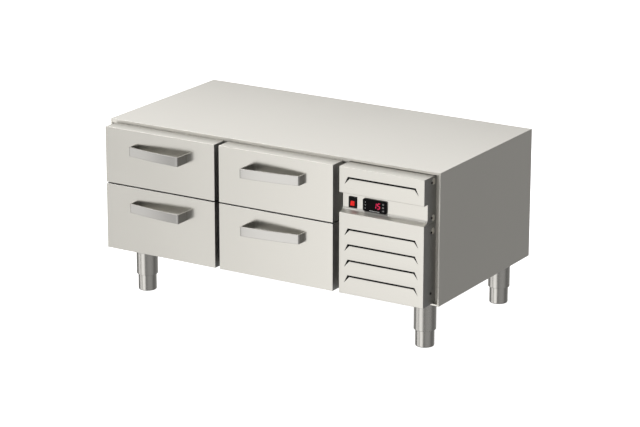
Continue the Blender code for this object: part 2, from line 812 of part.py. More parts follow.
def fan_shape(hub_radius, hub_height, tip_radius, chord, blades=5):
    """An axial fan about Z: a hub with blades drawn out of its sides, as one body."""
    sides = blades * 3
    shape = bmesh.new()
    bmesh.ops.create_cone(
        shape,
        cap_ends=True,
        segments=sides,
        radius1=hub_radius,
        radius2=hub_radius,
        depth=hub_height,
    )
    flanks = [face for face in shape.faces if abs(face.normal.z) < 0.5]
    flanks.sort(key=lambda face: math.atan2(face.normal.y, face.normal.x))
    stations = ((hub_radius + 0.006, 0.55 * hub_height, 30), (tip_radius, chord, 22))
    for flank in flanks[::3]:
        radial = flank.normal.copy()
        around = Vector((-radial.y, radial.x, 0))
        face = flank
        for radius, width, pitch in stations:
            face = bmesh.ops.extrude_discrete_faces(shape, faces=[face])["faces"][0]
            lean = math.radians(pitch)
            along = around * math.cos(lean) + Vector((0, 0, math.sin(lean)))
            across = Vector((0, 0, math.cos(lean))) - around * math.sin(lean)
            middle = face.calc_center_median()
            for corner in face.verts:
                ahead = 1 if (corner.co - middle).dot(around) > 0 else -1
                above = 1 if corner.co.z > middle.z else -1
                shift = along * (above * width / 2) - across * (ahead * BLADE_SHEET / 2)
                corner.co = radial * radius + shift
    # The blades' sides are twisted, so they are split into flat triangles.
    bmesh.ops.triangulate(shape, faces=shape.faces)
    bmesh.ops.recalc_face_normals(shape, faces=shape.faces)
    return shape


def make_condensing_unit(painted, aluminium, black):
    """Compressor, condenser coil, fan shroud with its motor, and the fan."""
    floor = CARCASS_BOTTOM + SHEET + GAP
    dome = [
        (0, 0.012),
        (0.8 * COMPRESSOR_RADIUS, 0.012),
        (COMPRESSOR_RADIUS, 0.035),
        (COMPRESSOR_RADIUS, 0.085),
        (COMPRESSOR_RADIUS + 0.003, 0.088),
        (COMPRESSOR_RADIUS + 0.003, 0.094),
        (COMPRESSOR_RADIUS, 0.097),
        (COMPRESSOR_RADIUS, 0.130),
        (0.86 * COMPRESSOR_RADIUS, 0.160),
        (0.5 * COMPRESSOR_RADIUS, 0.177),
        (0, 0.182),
    ]
    x, y = COMPRESSOR_PLACE
    compressor = add("compressor", turned(dome), painted, place=(x, y, floor), smooth=True)
    length, depth, height = COMPRESSOR_FEET
    foot_plate = block((-length, -depth, 0), (length, depth, height))
    near, far, half, low, high = TERMINAL_BOX
    terminal_box = block((near, -half, low), (far, half, high))
    join(compressor, foot_plate, terminal_box)

    coil = finned_block(CONDENSER_X, CONDENSER_Y, CONDENSER_Z, CONDENSER_FINS)
    add("condenser_coil", coil, aluminium)

    middle = (sum(CONDENSER_X) / 2, CONDENSER_Y[1] + 0.002, sum(CONDENSER_Z) / 2)
    origin = axis_empty("condenser_fan_axis", middle)
    half_width = (CONDENSER_X[1] - CONDENSER_X[0]) / 2
    half_height = (CONDENSER_Z[1] - CONDENSER_Z[0]) / 2
    shroud = add(
        "condenser_fan_shroud",
        block((-half_width, 0, -half_height), (half_width, SHROUD_SHEET, half_height)),
        painted,
        parent=origin,
    )
    opening = turned([(0, -FAR), (SHROUD_RING, -FAR), (SHROUD_RING, FAR), (0, FAR)], 24)
    cut(shroud, turn_shape(opening, -math.pi / 2, "X"))
    # Two crossed bars behind the fan carry the motor, on a post at each end.
    spider = []
    posts = []
    reach = SHROUD_RING + 0.012
    for angle, thickness in zip(MOTOR_BAR_ANGLES, (0.004, 0.005)):
        far = MOTOR_BAR_Y + thickness
        bar = block((-reach, MOTOR_BAR_Y, -0.005), (reach, far, 0.005))
        spider.append(turn_shape(bar, math.radians(angle), "Y"))
        for corner in (angle, angle + 180):
            far = MOTOR_BAR_Y + 0.002
            post = block((reach - 0.009, OVERLAP, -0.004), (reach - 0.001, far, 0.004))
            posts.append(turn_shape(post, math.radians(corner), "Y"))
    shoulder = (MOTOR_RADIUS, MOTOR_LENGTH - 0.005)
    end = (MOTOR_RADIUS - 0.006, MOTOR_LENGTH)
    motor = turned([(0, 0), (MOTOR_RADIUS, 0), shoulder, end, (0, MOTOR_LENGTH)])
    turn_shape(motor, -math.pi / 2, "X", (0, MOTOR_BAR_Y - 0.0035, 0))
    join(shroud, *spider, *posts, motor)
    fan = fan_shape(0.030, 0.022, CONDENSER_FAN_RADIUS, 0.034)
    turn_shape(fan, -math.pi / 2, "X", (0, 0.021, 0))
    add("condenser_fan", fan, black, parent=origin)


def make_evaporator(aluminium, zinc, black):
    """Evaporator coil in the chamber's recess, and the fan that blows its air out."""
    half_length = (RECESS_Y[1] - RECESS_Y[0]) / 2 - 0.004
    height = (RECESS_Z[0] + 0.006, RECESS_Z[1] - 0.006)
    pack = finned_block((-half_length, half_length), EVAPORATOR_X, height, EVAPORATOR_FINS)
    middle_y = sum(RECESS_Y) / 2
    turn_shape(pack, -math.pi / 2, "Z")
    add("evaporator_coil", pack, aluminium, place=(0, middle_y, 0))

    middle = (EVAPORATOR_X[0] - 0.004, middle_y, sum(RECESS_Z) / 2)
    origin = axis_empty("evaporator_fan_axis", middle)
    half_width = (RECESS_Y[1] - RECESS_Y[0]) / 2 - 0.002
    half_height = (RECESS_Z[1] - RECESS_Z[0]) / 2 - 0.002
    bracket = add(
        "evaporator_fan_motor",
        block((-EVAPORATOR_BRACKET, -half_width, -half_height), (0, half_width, half_height)),
        zinc,
        parent=origin,
    )
    # Four air gaps leave a cross that carries the motor.
    rib = 0.008
    gaps = []
    for sign_y in (-1, 1):
        for sign_z in (-1, 1):
            ys = sorted((sign_y * rib, sign_y * (half_width - 0.010)))
            zs = sorted((sign_z * rib, sign_z * (half_height - 0.045)))
            gaps.append(block((-FAR, ys[0], zs[0]), (FAR, ys[1], zs[1])))
    cut(bracket, *gaps)
    motor = turned([(0, 0), (0.026, 0), (0.026, 0.030), (0, 0.030)])
    join(bracket, turn_shape(motor, -math.pi / 2, "Y", (-OVERLAP, 0, 0)))
    fan = fan_shape(0.020, 0.018, EVAPORATOR_FAN_RADIUS, 0.026)
    turn_shape(fan, -math.pi / 2, "Y", (-EVAPORATOR_FAN_GAP, 0, 0))
    add("evaporator_fan", fan, black, parent=origin)


def make_cable_gland(black):
    """The mains lead's gland, through the base behind the compressor."""
    gland = [
        (0.005, -0.020),
        (0.010, -0.020),
        (0.012, -0.014),
        (0.015, -0.013),
        (0.015, -GAP),
        (0.0105, -GAP),
        (0.0105, 0.012),
        (0.005, 0.012),
    ]
    add("cable_gland", turned(gland, 16), black, place=GLAND_PLACE, smooth=True)


def main():
    for old in list(bpy.data.objects):
        bpy.data.objects.remove(old)
    steel = material("brushed_steel", (0.70, 0.68, 0.65), 0.35, 1.0)
    inner_steel = material("inner_steel", (0.66, 0.66, 0.65), 0.40, 1.0)
    zinc = material("galvanised_steel", (0.55, 0.57, 0.58), 0.50, 1.0)
    foam = material("chamber_lining", (0.80, 0.80, 0.78), 0.55, 0.0)
    rubber = material("gasket_rubber", (0.05, 0.05, 0.05), 0.70, 0.0)
    black = material("black_plastic", (0.02, 0.02, 0.02), 0.40, 0.0)
    dark_glass = material("display_window", (0.05, 0.01, 0.01), 0.10, 0.0)
    key_grey = material("key_rubber", (0.04, 0.04, 0.04), 0.60, 0.0)
    red = material("red_lens", (0.80, 0.03, 0.02), 0.20, 0.0)
    painted = material("black_paint", (0.03, 0.03, 0.03), 0.35, 0.0)
    aluminium = material("aluminium", (0.75, 0.76, 0.77), 0.40, 1.0)
    foot_steel = material("foot_steel", (0.62, 0.61, 0.59), 0.35, 1.0)

    make_carcass(steel, zinc, foam)
    make_front_frame(steel)
    make_runner_frames(zinc)
    make_slide_members(zinc)
    for column in COLUMN_X:
        for row in ROWS:
            make_drawer(row, column, steel, inner_steel, rubber)
    make_machine_covers(steel)
    make_thermostat(black, dark_glass, key_grey)
    make_switch(black, red)
    make_legs(steel, foot_steel)
    make_condensing_unit(painted, aluminium, black)
    make_evaporator(aluminium, zinc, black)
    make_cable_gland(black)


main()
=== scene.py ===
"""Looks of the under counter fridge: four refrigerated drawers beside a machine compartment.

Metres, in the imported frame: the fronts face -Y, the machine compartment is at the +X end.
Places are worked out from the boxes of the CAD nodes.
"""
import math

import bmesh
import bpy
from mathutils import Matrix, Vector


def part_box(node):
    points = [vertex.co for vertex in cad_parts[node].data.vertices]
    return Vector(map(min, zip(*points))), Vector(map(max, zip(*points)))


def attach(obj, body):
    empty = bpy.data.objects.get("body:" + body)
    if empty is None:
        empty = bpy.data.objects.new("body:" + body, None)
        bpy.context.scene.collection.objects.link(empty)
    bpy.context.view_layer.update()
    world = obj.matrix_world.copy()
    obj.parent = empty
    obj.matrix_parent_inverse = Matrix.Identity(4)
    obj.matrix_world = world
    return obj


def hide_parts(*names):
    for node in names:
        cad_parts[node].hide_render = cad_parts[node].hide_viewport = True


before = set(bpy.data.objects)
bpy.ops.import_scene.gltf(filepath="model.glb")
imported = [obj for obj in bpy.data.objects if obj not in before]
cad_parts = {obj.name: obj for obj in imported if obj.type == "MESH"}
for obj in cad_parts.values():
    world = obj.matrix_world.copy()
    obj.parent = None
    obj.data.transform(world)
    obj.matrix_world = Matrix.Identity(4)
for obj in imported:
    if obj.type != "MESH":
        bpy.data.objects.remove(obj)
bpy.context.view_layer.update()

# Sheet metal
SHEET = 0.0012
THICK_SHEET = 0.0015
GAP = 0.0003  # clearance between neighbours
FOLD = 0.0013  # outside radius of a fold
TIGHT_FOLD = 0.0008  # outside radius of a side panel's folds
DEEP_LIP = 0.0135  # height of the worktop's lip over the drawers
SHALLOW_LIP = 0.009  # and over the machine covers
RIM_EDGE = 0.0003  # rounding of a sheet's cut edges
WELD = 0.00001
SOFT_FOLD = 0.0009  # outside radius of the fronts' edges
ROW_TRIM = 0.0008  # taken off each front where the two rows meet

# Places of a piece's further finishes
FLANK = 1
LEDGE = 2
# The upper fronts' undersides, painted black as shade in the gap between the rows.
ROW_GAP_SHADE = 3
UNLIT = 1  # on the rocker only

COLUMNS = ("left", "right")
ROWS = ("upper", "lower")
DRAWERS = [(row, column) for column in COLUMNS for row in ROWS]
FEET = [(end, side) for end in ("front", "rear") for side in COLUMNS]

# Planes that the pieces share
TOP_LOW, TOP_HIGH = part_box("worktop")
BASE_LOW, BASE_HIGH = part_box("base_panel")
RIM_Y = TOP_LOW.y
BACK_Y = TOP_HIGH.y
FACE_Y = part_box("lower_grille")[0].y
FRAME_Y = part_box("front_frame")[0].y - GAP

# Camera
CAMERA_PLACE = (4.2544, -6.8986, 2.7729)
CAMERA_TURN = (72.98, -0.09, 31.49)  # degrees
CAMERA_LENS = 150.08
CAMERA_SENSOR = 36.0

# Light. A lobe is azimuth, elevation, inner and outer angle in degrees, and brightness.
# Azimuth is 0 towards -Y and 90 towards +X.
WORLD_BASE = 0.20
WORLD_FLATTEN = 0.4
WORLD_LOBES = (
    (-14, -17, 8, 28.5, 1.25),
    (-58, -17, 4, 20, 1.00),
    (62, -12, 5, 52, 0.22),
    (165, -20, 5, 40, 0.10),
    (-145, 25, 10, 60, 0.55),
    (0, 88, 15, 45, 2.2),
)
LIGHT_COLOUR = (1.0, 0.99, 0.975, 1.0)
KEY_PLACE = (-2.4, -1.6, 3.9)
KEY_AIM = (0, 0, 0.3)
CARD_Y = 1.6
CARD_LOW, CARD_HIGH = (-3.2, 0.66), (0.6, 2.6)  # its corners, as (x, z)
CARD_HEIGHTS = (0.95, 1.20)  # its glow changes between these heights
CARD_LEVELS = (0.48, 1.20)
FLOOR_SIZE = 60.0


# ---- mesh tools


def rounded(path, radius, steps=4):
    """A path of 2D points with its corners turned into arcs."""
    points = [Vector(point) for point in path]
    made = [points[0]]
    for before, corner, after in zip(points, points[1:], points[2:]):
        back = (before - corner).normalized()
        ahead = (after - corner).normalized()
        half = back.angle(ahead) / 2
        shortest = min((before - corner).length, (after - corner).length)
        reach = min(radius / math.tan(half), 0.49 * shortest)
        turn = reach * math.tan(half)
        centre = corner + (back + ahead).normalized() * (turn / math.sin(half))
        start = (corner + back * reach - centre).to_3d()
        end = (corner + ahead * reach - centre).to_3d()
        for i in range(steps + 1):
            made.append(centre + turn * start.slerp(end, i / steps).to_2d())
    made.append(points[-1])
    return made


def place_on(axis, point, along):
    """A 3D point from a point in the plane across an axis, and its place along the axis."""
    if axis == "X":
        return (along, point[0], point[1])
    if axis == "Y":
        return (point[0], along, point[1])
    return (point[0], point[1], along)


def swept(path, axis, start, end):
    """A sheet: a path drawn out along an axis, from one place to another."""
    shape = bmesh.new()
    grid = [[shape.verts.new(place_on(axis, point, at)) for at in (start, end)] for point in path]
    for first, second in zip(grid, grid[1:]):
        shape.faces.new((first[0], first[1], second[1], second[0]))
    return shape


def skin(shape, rings):
    """Faces between closed rings of corners. A ring's corner may come more than once."""
    for first, second in zip(rings, rings[1:]):
        for i, corner in enumerate(first):
            j = (i + 1) % len(first)
            shape.faces.new(list(dict.fromkeys((corner, first[j], second[j], second[i]))))
    bmesh.ops.recalc_face_normals(shape, faces=shape.faces)


def loft(loops, ends="capped"):
    """A skin over loops of as many points each. Its ends are capped, joined or open."""
    shape = bmesh.new()
    rings = [[shape.verts.new(point) for point in loop] for loop in loops]
    if ends == "joined":
        rings.append(rings[0])
    if ends == "capped":
        shape.faces.new(rings[0])
        shape.faces.new(rings[-1])
    skin(shape, rings)
    return shape


def lathe(profile, steps=48):
    """A profile of (radius, height) points turned about Z. It closes on itself off the axis."""
    shape = bmesh.new()
    rings = []
    for radius, height in profile:
        if radius == 0:
            rings.append([shape.verts.new((0, 0, height))] * steps)
            continue
        ring = []
        for i in range(steps):
            turn = 2 * math.pi * i / steps
            ring.append(shape.verts.new((radius * math.cos(turn), radius * math.sin(turn), height)))
        rings.append(ring)
    if profile[0][0] and profile[-1][0]:
        rings.append(rings[0])
    skin(shape, rings)
    return shape


def cuboid(low, high, edge=0.0, steps=2):
    """A cuboid between two corners, with rounded edges."""
    shape = bmesh.new()
    bmesh.ops.create_cube(shape, size=1.0)
    low, high = Vector(low), Vector(high)
    matrix = Matrix.LocRotScale((low + high) / 2, None, high - low)
    bmesh.ops.transform(shape, matrix=matrix, verts=shape.verts)
    if edge:
        round_edges(shape, shape.edges[:], edge, steps)
    return shape


def round_edges(shape, edges, radius, steps=3):
    bmesh.ops.bevel(
        shape, geom=edges, offset=radius, segments=steps, profile=0.5, affect="EDGES",
        clamp_overlap=True,
    )


def sharp_edges(shape, angle=40):
    """The edges between faces that meet at more than an angle in degrees."""
    limit = math.radians(angle)
    return [e for e in shape.edges if len(e.link_faces) == 2 and e.calc_face_angle() > limit]


def round_rect(width, height, radius, steps=6):
    """A rectangle with rounded corners about the origin, anticlockwise."""
    points = []
    for turn, (side, rise) in enumerate(((1, 1), (-1, 1), (-1, -1), (1, -1))):
        x, y = side * (width / 2 - radius), rise * (height / 2 - radius)
        for i in range(steps + 1):
            angle = math.pi / 2 * (turn + i / steps)
            points.append((x + radius * math.cos(angle), y + radius * math.sin(angle)))
    return points


def plate(width, height, corner, depth, edge, steps=4):
    """A plate with rounded corners that faces -Y from Y = 0, with a rounded front edge."""
    levels = [(0.0, 0.0), (edge - depth, 0.0)]
    for i in range(1, steps + 1):
        turn = math.pi / 2 * i / steps
        levels.append((edge * (1 - math.sin(turn)) - depth, edge * (1 - math.cos(turn))))
    loops = []
    for y, inset in levels:
        outline = round_rect(width - 2 * inset, height - 2 * inset, max(corner - inset, 1e-4))
        loops.append([(x, y, z) for x, z in outline])
    return loft(loops)


def moved(shape, place=(0, 0, 0), angle=0.0, axis="X"):
    """A shape turned about an axis by an angle in degrees, then moved."""
    matrix = Matrix.Translation(place) @ Matrix.Rotation(math.radians(angle), 4, axis)
    bmesh.ops.transform(shape, matrix=matrix, verts=shape.verts)
    return shape


def merged(shapes):
    """Several shapes as one, each still a body of its own."""
    whole = bmesh.new()
    for shape in shapes:
        mesh = bpy.data.meshes.new("part")
        shape.to_mesh(mesh)
        shape.free()
        whole.from_mesh(mesh)
        bpy.data.meshes.remove(mesh)
    return whole


def facing(shape, direction):
    """Turns an open sheet's faces so that its largest ones along a direction look that way."""
    bmesh.ops.recalc_face_normals(shape, faces=shape.faces)
    shape.normal_update()
    total = sum(face.normal.dot(Vector(direction)) * face.calc_area() for face in shape.faces)
    if total < 0:
        bmesh.ops.reverse_faces(shape, faces=shape.faces)
    return shape


def placed(name, data):
    """A new object in the scene."""
    made = bpy.data.objects.new(name, data)
    bpy.context.scene.collection.objects.link(made)
    return made


def solid(name, shape, *finishes):
    """A shape as an object, with its finishes."""
    mesh = bpy.data.meshes.new(name)
    shape.to_mesh(mesh)
    shape.free()
    for finish in finishes:
        mesh.materials.append(finish)
    return placed(name, mesh)


def piece(
    name, shape, finish, body, stands_for=(), fold=0.0, sheet=0.0, edge=0.0,
    more_finishes=(),
):
    """A shown piece. fold rounds its bends, sheet gives it thickness, edge softens its rims."""
    made = solid(name, shape, finish, *more_finishes)
    made.data.shade_smooth()
    if fold:
        soften(made, "folds", fold, 4, 30)
    if sheet:
        thickness = made.modifiers.new("sheet", "SOLIDIFY")
        thickness.thickness = sheet
        thickness.offset = -1
        thickness.use_even_offset = True
    if edge:
        soften(made, "rims", edge, 2, 50)
    weigh(made)
    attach(made, body)
    if stands_for:
        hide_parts(*stands_for)
    return made


def soften(made, name, width, segments, angle):
    bevel = made.modifiers.new(name, "BEVEL")
    bevel.width = width
    bevel.segments = segments
    bevel.limit_method = "ANGLE"
    bevel.angle_limit = math.radians(angle)


def weigh(made):
    """Keeps large faces flat in the shading, beside rounded edges."""
    normals = made.modifiers.new("normals", "WEIGHTED_NORMAL")
    normals.weight = 80
    normals.keep_sharp = True


# ---- materials


def inputs_of(material):
    return material.node_tree.nodes["Principled BSDF"].inputs


def surface(name, colour, roughness, metallic=0.0, **sockets):
    """A Principled material. sockets are further inputs, with _ for a space."""
    made = bpy.data.materials.new(name)
    made.use_nodes = True
    inputs = inputs_of(made)
    inputs["Base Color"].default_value = (*colour, 1.0)
    inputs["Roughness"].default_value = roughness
    inputs["Metallic"].default_value = metallic
    for socket, value in sockets.items():
        inputs[socket.replace("_", " ")].default_value = value
    return made


def add_node(material, kind, links=(), **values):
    """A node in the tree of a material or world. Values set its inputs or settings by name."""
    tree = material.node_tree
    made = tree.nodes.new(kind)
    for key, value in values.items():
        label = key.replace("_", " ")
        if label in made.inputs:
            made.inputs[label].default_value = value
        else:
            setattr(made, key, value)
    for socket, source in links:
        tree.links.new(source, made.inputs[socket])
    return made


def own_place(material):
    """The piece's own coordinates, as a link for a node's Vector."""
    return [("Vector", add_node(material, "ShaderNodeTexCoord").outputs["Object"])]


def pattern(material, scale, stretch=(1, 1, 1), detail=2.0, roughness=0.5):
    """Noise in the piece's own coordinates, stretched along some axes."""
    mapping = add_node(material, "ShaderNodeMapping", own_place(material), Scale=stretch)
    noise = add_node(
        material, "ShaderNodeTexNoise", [("Vector", mapping.outputs["Vector"])],
        Scale=scale, Detail=detail, Roughness=roughness,
    )
    return noise.outputs["Fac"]


def place_along(material, axis):
    """The piece's own place along an axis."""
    return add_node(material, "ShaderNodeSeparateXYZ", own_place(material)).outputs[axis]


def spread(material, source, low, high, start=0.3, end=0.7):
    """A factor mapped to a range of values."""
    mapped = add_node(
        material, "ShaderNodeMapRange", [("Value", source)],
        From_Min=start, From_Max=end, To_Min=low, To_Max=high,
    )
    return mapped.outputs["Result"]


def tint(material, source, first, second, start=0.3, end=0.7):
    """A colour that runs from one to another with a factor."""
    ramp = add_node(material, "ShaderNodeValToRGB", [("Fac", source)])
    for stop, place, colour in zip(ramp.color_ramp.elements, (start, end), (first, second)):
        stop.position = place
        stop.color = (*colour, 1.0)
    return ramp.outputs["Color"]


def connect(material, socket, source):
    material.node_tree.links.new(source, inputs_of(material)[socket])


def rough_skin(material, height, strength, distance):
    """Bump from a height."""
    bump = add_node(
        material, "ShaderNodeBump", [("Height", height)], Strength=strength, Distance=distance
    )
    connect(material, "Normal", bump.outputs["Normal"])


def shade(colour, factor):
    return tuple(channel * factor for channel in colour)


def blended(material, first, second, share=0.5):
    """Two factors mixed."""
    mix = add_node(material, "ShaderNodeMix", data_type="FLOAT")
    mix.inputs[0].default_value = share
    material.node_tree.links.new(first, mix.inputs[2])
    material.node_tree.links.new(second, mix.inputs[3])
    return mix.outputs[0]


STRETCH = {"X": (1, 60, 60), "Y": (60, 1, 60), "Z": (60, 60, 1)}


def brushed_steel(name, colour, roughness, grain, contrast=0.025):
    """Satin steel: fine scratches along its grain, and slow changes in tone."""
    made = surface(name, colour, roughness, 1.0)
    scratches = pattern(made, 26.0, STRETCH[grain], detail=5.0, roughness=0.7)
    cloud = pattern(made, 3.0, detail=2.0)
    both = blended(made, scratches, cloud, 0.4)
    dark, light = shade(colour, 1 - contrast), shade(colour, 1 + 0.6 * contrast)
    connect(made, "Base Color", tint(made, both, dark, light))
    connect(made, "Roughness", spread(made, both, roughness - 0.03, roughness + 0.04))
    rough_skin(made, scratches, 0.12, 0.0002)
    return made


def steel_with_painted_shade(name, colour, roughness, grain, front, rear):
    """Satin steel with a painted shade: its colour darkens towards a rear corner."""
    made = brushed_steel(name, colour, roughness, grain)
    depth = spread(made, place_along(made, "Y"), 0.0, 1.0, front, rear)
    # Painted shade: the colour runs from the given colour at the front to 70% of it at the rear.
    connect(made, "Base Color", tint(made, depth, colour, shade(colour, 0.70), 0.0, 1.0))
    return made


def galvanised(name, colour):
    """Zinc-coated sheet with its spangle."""
    made = surface(name, colour, 0.42, 1.0)
    spangle = add_node(made, "ShaderNodeTexVoronoi", own_place(made), Scale=85.0)
    shades = add_node(made, "ShaderNodeSeparateColor", [("Color", spangle.outputs["Color"])])
    flakes = shades.outputs["Red"]
    dark, light = shade(colour, 0.90), shade(colour, 1.05)
    connect(made, "Base Color", tint(made, flakes, dark, light, 0.0, 1.0))
    connect(made, "Roughness", spread(made, flakes, 0.39, 0.47, 0.0, 1.0))
    rough_skin(made, pattern(made, 260.0, detail=3.0), 0.08, 0.0003)
    return made


def moulded(name, colour, roughness, grain_scale=900.0, strength=0.15, **sockets):
    """Moulded plastic or rubber with a fine texture and a slight change in gloss."""
    made = surface(name, colour, roughness, 0.0, **sockets)
    grain = pattern(made, grain_scale, detail=3.0)
    cloud = pattern(made, 25.0, detail=2.0)
    connect(made, "Base Color", tint(made, cloud, shade(colour, 0.85), shade(colour, 1.2)))
    connect(made, "Roughness", spread(made, cloud, roughness - 0.06, roughness + 0.06))
    rough_skin(made, grain, strength, 0.0002)
    return made


def glowing(name, colour, light, strength):
    """A lit plastic face, a little brighter in patches."""
    made = surface(name, colour, 0.25, 0.0, Specular_IOR_Level=0.25)
    cloud = pattern(made, 160.0, detail=1.0)
    connect(made, "Base Color", tint(made, cloud, shade(colour, 0.7), colour))
    connect(made, "Emission Color", tint(made, cloud, shade(light, 0.75), light))
    inputs_of(made)["Emission Strength"].default_value = strength
    return made


def printed(name, colour):
    """Screen print, slightly uneven."""
    made = surface(name, colour, 0.55)
    ink = pattern(made, 1500.0, detail=2.0)
    connect(made, "Base Color", tint(made, ink, shade(colour, 0.8), colour))
    return made


STEEL = (0.73, 0.715, 0.67)
HANDLE = (0.51, 0.502, 0.484)
# A darker steel, for painted shade on faces turned away from the light.
PAINTED_SHADE_STEEL = (0.41, 0.41, 0.405)
LEG_STEEL = (0.56, 0.55, 0.525)
steel_x = brushed_steel("satin_steel_across", STEEL, 0.22, "X")
soft_steel = brushed_steel("satin_steel_soft", STEEL, 0.30, "X")
steel_y = brushed_steel("satin_steel_deep", STEEL, 0.33, "Y")
# Painted light and shade: the ledge steel is brightened, and darkened towards the rear as if the
# lip above shaded it.
LEDGE_SHADE_DEPTH = 0.038
ledge_steel_painted_light_and_shade = steel_with_painted_shade(
    "ledge_steel_painted_light_and_shade", shade(STEEL, 1.08), 0.50, "X", FACE_Y, FACE_Y + LEDGE_SHADE_DEPTH
)
# Painted shade: darker copies of the steel for the cover flanges and the drawer fronts' flanks,
# lower tops and undersides.
flange_steel_painted_shade = brushed_steel("flange_steel_painted_shade", PAINTED_SHADE_STEEL, 0.5, "Z")
flank_steel_painted_shade = brushed_steel("flank_steel_painted_shade", shade(PAINTED_SHADE_STEEL, 1.5), 0.5, "Z")
# Painted light: brighter copies of the steel for the front frame, the worktop's lip, the side rims
# and the cover lugs.
frame_steel_painted_light = brushed_steel("frame_steel_painted_light", shade(STEEL, 1.25), 0.75, "Z")
rim_steel_painted_light = brushed_steel("rim_steel_painted_light", shade(STEEL, 1.22), 0.55, "Z")
steel_z = brushed_steel("satin_steel_upright", LEG_STEEL, 0.26, "Z")
handle_steel = brushed_steel("handle_steel", HANDLE, 0.24, "X")
# Painted highlight on the handle's top faces, and painted shade on its sides and inner faces.
handle_rim_painted_highlight = brushed_steel("handle_rim_painted_highlight", shade(STEEL, 1.36), 0.6, "X")
handle_flank_painted_shade = brushed_steel("handle_flank_painted_shade", shade(HANDLE, 0.80), 0.35, "X")
foot_steel = brushed_steel("foot_steel_brushed", LEG_STEEL, 0.24, "Z", 0.04)
inner_steel = brushed_steel("inner_steel_satin", (0.66, 0.655, 0.64), 0.36, "Y", 0.07)
zinc = galvanised("zinc_sheet", (0.66, 0.67, 0.68))
screw_steel = brushed_steel("screw_steel", (0.45, 0.44, 0.43), 0.30, "Z", 0.15)
dark_screw = brushed_steel("blackened_screw", (0.06, 0.06, 0.06), 0.35, "Z", 0.15)
# Painted shade: the black filter foam darkens the view through the louvres.
filter_foam_painted_shade = moulded("filter_foam_painted_shade", (0.010, 0.010, 0.011), 0.9, 600.0, 0.6)
lining = moulded("pale_lining", (0.66, 0.66, 0.64), 0.42, 350.0, 0.05)
# The gasket rubber also paints the shade under the upper fronts, in the gap between the rows.
rubber = moulded("dark_gasket_and_row_gap_shade", (0.028, 0.028, 0.03), 0.62, 700.0, 0.2)
black_plastic = moulded(
    "black_housing", (0.007, 0.007, 0.008), 0.40, 1200.0, 0.06, Specular_IOR_Level=0.1
)
gloss_black = moulded(
    "gloss_black", (0.003, 0.003, 0.004), 0.20, 1800.0, 0.01, Specular_IOR_Level=0.06
)
lens = moulded(
    "smoked_lens", (0.004, 0.002, 0.003), 0.15, 1800.0, 0.004, Specular_IOR_Level=0.06
)
key_rubber = moulded("key_pad", (0.022, 0.022, 0.024), 0.5, 900.0, 0.1)
black_paint = moulded("black_enamel", (0.018, 0.018, 0.019), 0.28, 500.0, 0.05, Coat_Weight=0.3)
aluminium = brushed_steel("fin_aluminium", (0.78, 0.79, 0.80), 0.34, "Z", 0.08)
red_light = glowing("red_segment", (0.4, 0.01, 0.04), (1.0, 0.015, 0.12), 0.75)
red_lens = glowing("red_rocker", (0.35, 0.008, 0.006), (1.0, 0.012, 0.008), 0.70)
white_ink = printed("white_ink", (0.80, 0.80, 0.78))


# ---- carcass


def make_worktop():
    """The folded top. Its front lip is deeper over the drawers than over the machine covers."""
    lip_end = BASE_HIGH.x
    cover_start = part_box("control_cover")[0].x - GAP
    spans = (
        (TOP_LOW.x, -lip_end, None),
        (-lip_end, cover_start, DEEP_LIP),
        (cover_start, lip_end, SHALLOW_LIP),
        (lip_end, TOP_HIGH.x, None),
    )
    sheets = []
    for start, end, lip in spans:
        low_z = TOP_HIGH.z - (lip or SHALLOW_LIP)
        corners = [(BACK_Y, TOP_HIGH.z), (RIM_Y, TOP_HIGH.z), (RIM_Y, low_z), (FRAME_Y, low_z)]
        path = rounded(corners, FOLD)
        if lip is None:
            path = path[: len(path) // 2]
        sheets.append(swept(path, "X", start, end))
    shape = merged(sheets)
    bmesh.ops.remove_doubles(shape, verts=shape.verts, dist=WELD)
    facing(shape, (0, 0, 1))
    # Painted light: the lip's front faces take the brighter rim steel.
    for face in shape.faces:
        if face.normal.y < -0.9:
            face.material_index = FLANK
    piece(
        "worktop_sheet", shape, soft_steel, "cabinet", ["worktop"],
        sheet=SHEET, edge=RIM_EDGE, more_finishes=[rim_steel_painted_light],
    )


def make_side_panels():
    """Side sheets with a narrow rim at the front that turns back to the frame."""
    rim = 0.0055
    for side, sign in (("left", -1), ("right", 1)):
        low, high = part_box(f"side_panel_{side}")
        outer = low.x if sign < 0 else high.x
        inner = outer - sign * rim
        corners = [(outer, BACK_Y), (outer, RIM_Y), (inner, RIM_Y), (inner, FRAME_Y)]
        path = rounded(corners, TIGHT_FOLD)
        shape = facing(swept(path, "Z", low.z, high.z), (sign, 0, 0))
        # Painted light: the rims' front faces take the brighter rim steel.
        for face in shape.faces:
            if face.normal.y < -0.5:
                face.material_index = FLANK
        piece(
            f"side_sheet_{side}", shape, steel_y, "cabinet",
            [f"side_panel_{side}"], sheet=SHEET, edge=RIM_EDGE, more_finishes=[rim_steel_painted_light],
        )


def make_base():
    """The base sheet, folded up to the frame under the fronts."""
    low_z, high_z = BASE_LOW.z, BASE_HIGH.z
    corners = [(FRAME_Y, high_z), (RIM_Y, high_z), (RIM_Y, low_z), (BACK_Y, low_z)]
    path = rounded(corners, FOLD)
    shape = facing(swept(path, "X", BASE_LOW.x, BASE_HIGH.x), (0, 0, -1))
    piece(
        "base_sheet", shape, steel_x, "cabinet", ["base_panel"],
        sheet=SHEET, edge=RIM_EDGE,
    )


def screw_shape(radius=0.0032, height=0.0018):
    """A pan head with a round socket, standing on Z = 0."""
    profile = [
        (0, 0), (1, 0), (1, 0.35), (0.9, 0.75), (0.66, 0.97), (0.45, 1), (0.40, 0.9),
        (0.36, 0.3), (0, 0.25),
    ]
    return lathe([(across * radius, up * height) for across, up in profile], 20)


